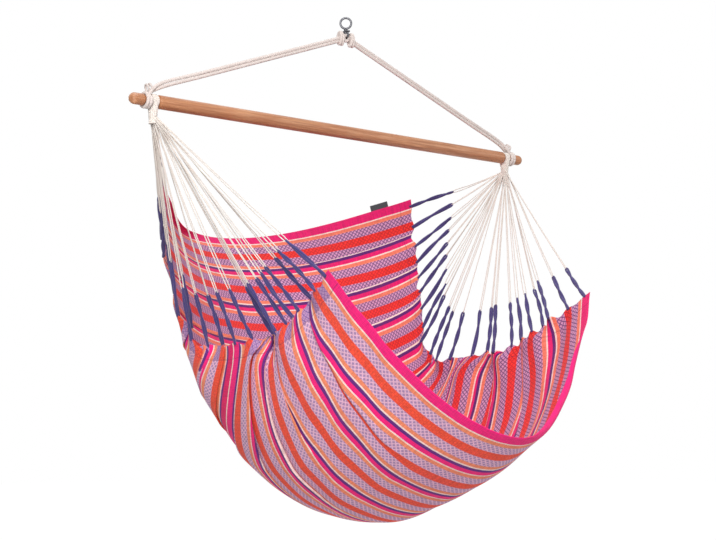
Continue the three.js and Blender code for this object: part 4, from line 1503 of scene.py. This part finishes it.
def cord_route(side, k):
    """From the throat down to loop k, through its eye, and back up beside itself."""
    cord_turn, eye_out = loop_eyes[side, k]
    source = strand_origin(side)
    source[1] += STRAND_ROW * (0.5 - k / (LOOP_COUNT - 1))
    source[0] += side * STRAND_STAGGER * (-1 if k % 2 else 1)
    towards = unit(source - cord_turn)
    through = unit(np.cross(towards, eye_out))
    halves = []
    for half in (-1, 1):
        top = source + through * half * THROAT_HALF_GAP + UP * THROAT_RISE
        low = cord_turn + towards * LOOP_RISE + through * half * LOOP_HALF_GAP
        sag = 4 * CORD_SHARES * (1 - CORD_SHARES) * rng.uniform(0.0, CORD_SAG)
        halves.append(top + (low - top) * CORD_SHARES - UP * sag)
    return np.concatenate([halves[0], [cord_turn - towards * LOOP_SLACK], halves[1][::-1]])


# %% Cord fans
for side_name, side in SIDES.items():
    fan = Shape()
    for k in range(LOOP_COUNT):
        path = smooth_path(cord_route(side, k), count=74)
        tube(fan, path, CORD_RADIUS, sides=7, first=loop_eyes[side, k][1])
    piece = fan.build(f"fan_cords_{side_name}", CORD_FINISH)
    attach(piece, "seat")
    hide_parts(f"cord_fan_{side_name}")
print("cord fans:", LOOP_COUNT, "doubled cords in each")

# %% Gather eyes
BAR_TURNS = 5
BAR_TURN_PITCH = 0.0034
BAR_TURN_RADIUS = 0.0019
BAR_TURN_LIFT = 0.0021
BAR_TURN_LAYER = 0.0012
NECK_CORDS = 16
NECK_CORD_RADIUS = 0.0022
NECK_TOP_Z = -0.30645
NECK_TOP_HALF_WIDTH = 0.0075
NECK_TOP_HALF_DEPTH = 0.013
NECK_TOP_RISE = 0.012
NECK_TOP_LEAN = 0.002
NECK_FOOT_RADIUS = 0.0072
NECK_FOOT_FLARE = 0.0005
NECK_TAIL = 0.014
BINDING_TURNS = 7
BINDING_POINTS = 44
BINDING_RISE = 0.0125
BINDING_PITCH = 0.0026
BINDING_RADIUS = 0.0092
BINDING_TAPER = 0.0001
BINDING_WAVE = 0.0012
BINDING_CORD_RADIUS = 0.0014


def neck_cord(side, turn):
    """One cord of the bound neck, from the turns on the bar down into the fan."""
    out = np.array([math.cos(turn), math.sin(turn), 0])
    axis = np.array([side * GATHER_PLACE, 0, 0])
    top = axis + UP * NECK_TOP_Z + out * np.array([NECK_TOP_HALF_WIDTH, NECK_TOP_HALF_DEPTH, 0])
    over = top + np.array([0, NECK_TOP_LEAN * out[1], NECK_TOP_RISE])
    low = axis + UP * NECK_FOOT_Z + out * NECK_FOOT_RADIUS
    tail = low - UP * NECK_TAIL + out * NECK_FOOT_FLARE
    return smooth_path([over, top, (top + low) / 2, low, tail], count=26), out


for side_name, side in SIDES.items():
    gather = Shape()
    for number in range(BAR_TURNS):
        place = side * (GATHER_PLACE + (number - BAR_TURNS // 2) * BAR_TURN_PITCH)
        radius = BAR_NECK_RADIUS + WRAP_GAP + BAR_TURN_LIFT + BAR_TURN_LAYER * (number % 2)
        tube(gather, ring_round_bar(place, radius, count=48), BAR_TURN_RADIUS, sides=10, ring=True)
    for turn in full_turn(NECK_CORDS):
        path, out = neck_cord(side, turn)
        tube(gather, path, NECK_CORD_RADIUS, sides=8, first=out)
    for number in range(BINDING_TURNS):
        centre = (side * GATHER_PLACE, 0, NECK_FOOT_Z + BINDING_RISE - number * BINDING_PITCH)
        radius = BINDING_RADIUS - BINDING_TAPER * number
        path = ring_path(radius, BINDING_POINTS, (1, 0, 0), (0, 1, 0), centre)
        path[:, 2] += BINDING_WAVE * np.sin(full_turn(BINDING_POINTS) + number)
        tube(gather, path, BINDING_CORD_RADIUS, sides=8, ring=True)
    piece = gather.build(f"gather_eye_bound_{side_name}", CORD_FINISH)
    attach(piece, "seat")
    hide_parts(f"gather_eye_{side_name}")
print("gather eyes:", BAR_TURNS, "turns on the bar and", BINDING_TURNS, "round the neck of each")

# %% [markdown]
# ## The label
# A folded grey tab is sewn behind the back selvedge. It is left plain, with a line of
# stitches along its lower edge.

# %% The label's tape
LABEL_FINISH, r, ports = finish("grey_label_tape", Roughness=0.9, Sheen_Weight=0.2)
around, along, _ = r.place()
weave = r.use(WEAVE, Along=along, Across=around, Warp=0.0006, Weft=0.0006)
r.feed(ports["Base Color"], r.mix(weave["Height"], srgb(52, 54, 58), srgb(84, 86, 92)))
r.feed(ports["Normal"], r.bump(weave["Height"], distance=0.0002, strength=0.6))

# %% The folded tab
LABEL_WIDTH = 0.05
LABEL_HEIGHT = 0.022
LABEL_PROUD = 0.006
LABEL_PLACE_SHARE = 0.71
LABEL_LIFT = 0.0022
LABEL_HALF_TAPE = 0.00035
LABEL_HALF_GAP = 0.0007
LABEL_FOLD_SHARE = 0.08
LABEL_FOLD_BEND = 1.15
LABEL_COLUMNS = 25
LABEL_ROWS = 33
SMALL_STEP = 1e-3
u0 = np.array(LABEL_PLACE_SHARE)
v0 = np.array(0.0)
outward = cloth_outward(u0, v0)
down_way = unit(cloth_sweep(u0, v0 + SMALL_STEP) - cloth_sweep(u0, v0))
along_way = unit(-np.cross(outward, down_way))
up_way = unit(np.cross(outward, along_way))
label_centre = cloth_sweep(u0, v0) + outward * LABEL_LIFT
label_across = np.linspace(-0.5, 0.5, LABEL_COLUMNS)
# From the foot of the leaf on the cloth, over the fold at 0, to the foot of the outer leaf
leaf = np.linspace(-1, 1, LABEL_ROWS)
height_at = LABEL_PROUD - LABEL_HEIGHT * np.abs(leaf) ** LABEL_FOLD_BEND
out_at = LABEL_HALF_GAP * np.sign(leaf) * (1 - np.exp(-np.abs(leaf) / LABEL_FOLD_SHARE))
label_grid = label_centre + label_across[None, :, None] * LABEL_WIDTH * along_way
label_grid = label_grid + height_at[:, None, None] * up_way + out_at[:, None, None] * outward
label_places = places_grid(np.linspace(0, 1, LABEL_ROWS) * 2 * LABEL_HEIGHT, label_across * LABEL_WIDTH)
half_tape = surface_normals(label_grid) * LABEL_HALF_TAPE
inner_face = label_grid + half_tape
outer_face = label_grid - half_tape
label_shape = Shape()
label_shape.add_grid(inner_face, label_places)
label_shape.add_grid(outer_face, label_places, flip=True)
for column, flip in ((0, False), (-1, True)):
    edge_grid = np.stack([inner_face[:, column], outer_face[:, column]], axis=1)
    label_shape.add_grid(edge_grid, label_places[:, :2], flip=flip)
for row, flip in ((0, True), (-1, False)):
    edge_grid = np.stack([inner_face[row], outer_face[row]], axis=1)
    label_shape.add_grid(edge_grid, label_places[:2].swapaxes(0, 1), flip=flip)

# %% Stitches along the tab's foot
STITCH_COUNT = 14
STITCH_RISE = 0.004
STITCH_RADIUS = 0.00028
STITCH_BULGE = 0.0002
STITCH_SHARE = 0.62
STITCHED_SHARE = 0.9
STITCH_POINTS = 7
STITCH_PITCH = LABEL_WIDTH * STITCHED_SHARE / STITCH_COUNT
run = np.linspace(-0.5, 0.5, STITCH_POINTS)[:, None]
# Inside the fold on the leaf at the cloth, and outside on the outer leaf
for points, face_out in ((inner_face, -outward), (outer_face[::-1], outward)):
    row_heights = np.linalg.norm(points[1:, 0] - points[:-1, 0], axis=-1).cumsum()
    first, *_, last = points[int(np.searchsorted(row_heights, STITCH_RISE))]
    for number in range(STITCH_COUNT):
        share = (number + 0.5) / STITCH_COUNT * STITCHED_SHARE + (1 - STITCHED_SHARE) / 2
        stitch = first + (last - first) * share + run * STITCH_PITCH * STITCH_SHARE * along_way
        stitch = stitch + face_out * (STITCH_BULGE * (1 - (2 * run) ** 2))
        tube(label_shape, stitch, STITCH_RADIUS, sides=6, first=face_out)
label_tab = label_shape.build("label_tab", LABEL_FINISH)
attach(label_tab, "seat")
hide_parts("label")
print("label:", 2 * STITCH_COUNT, "stitches")
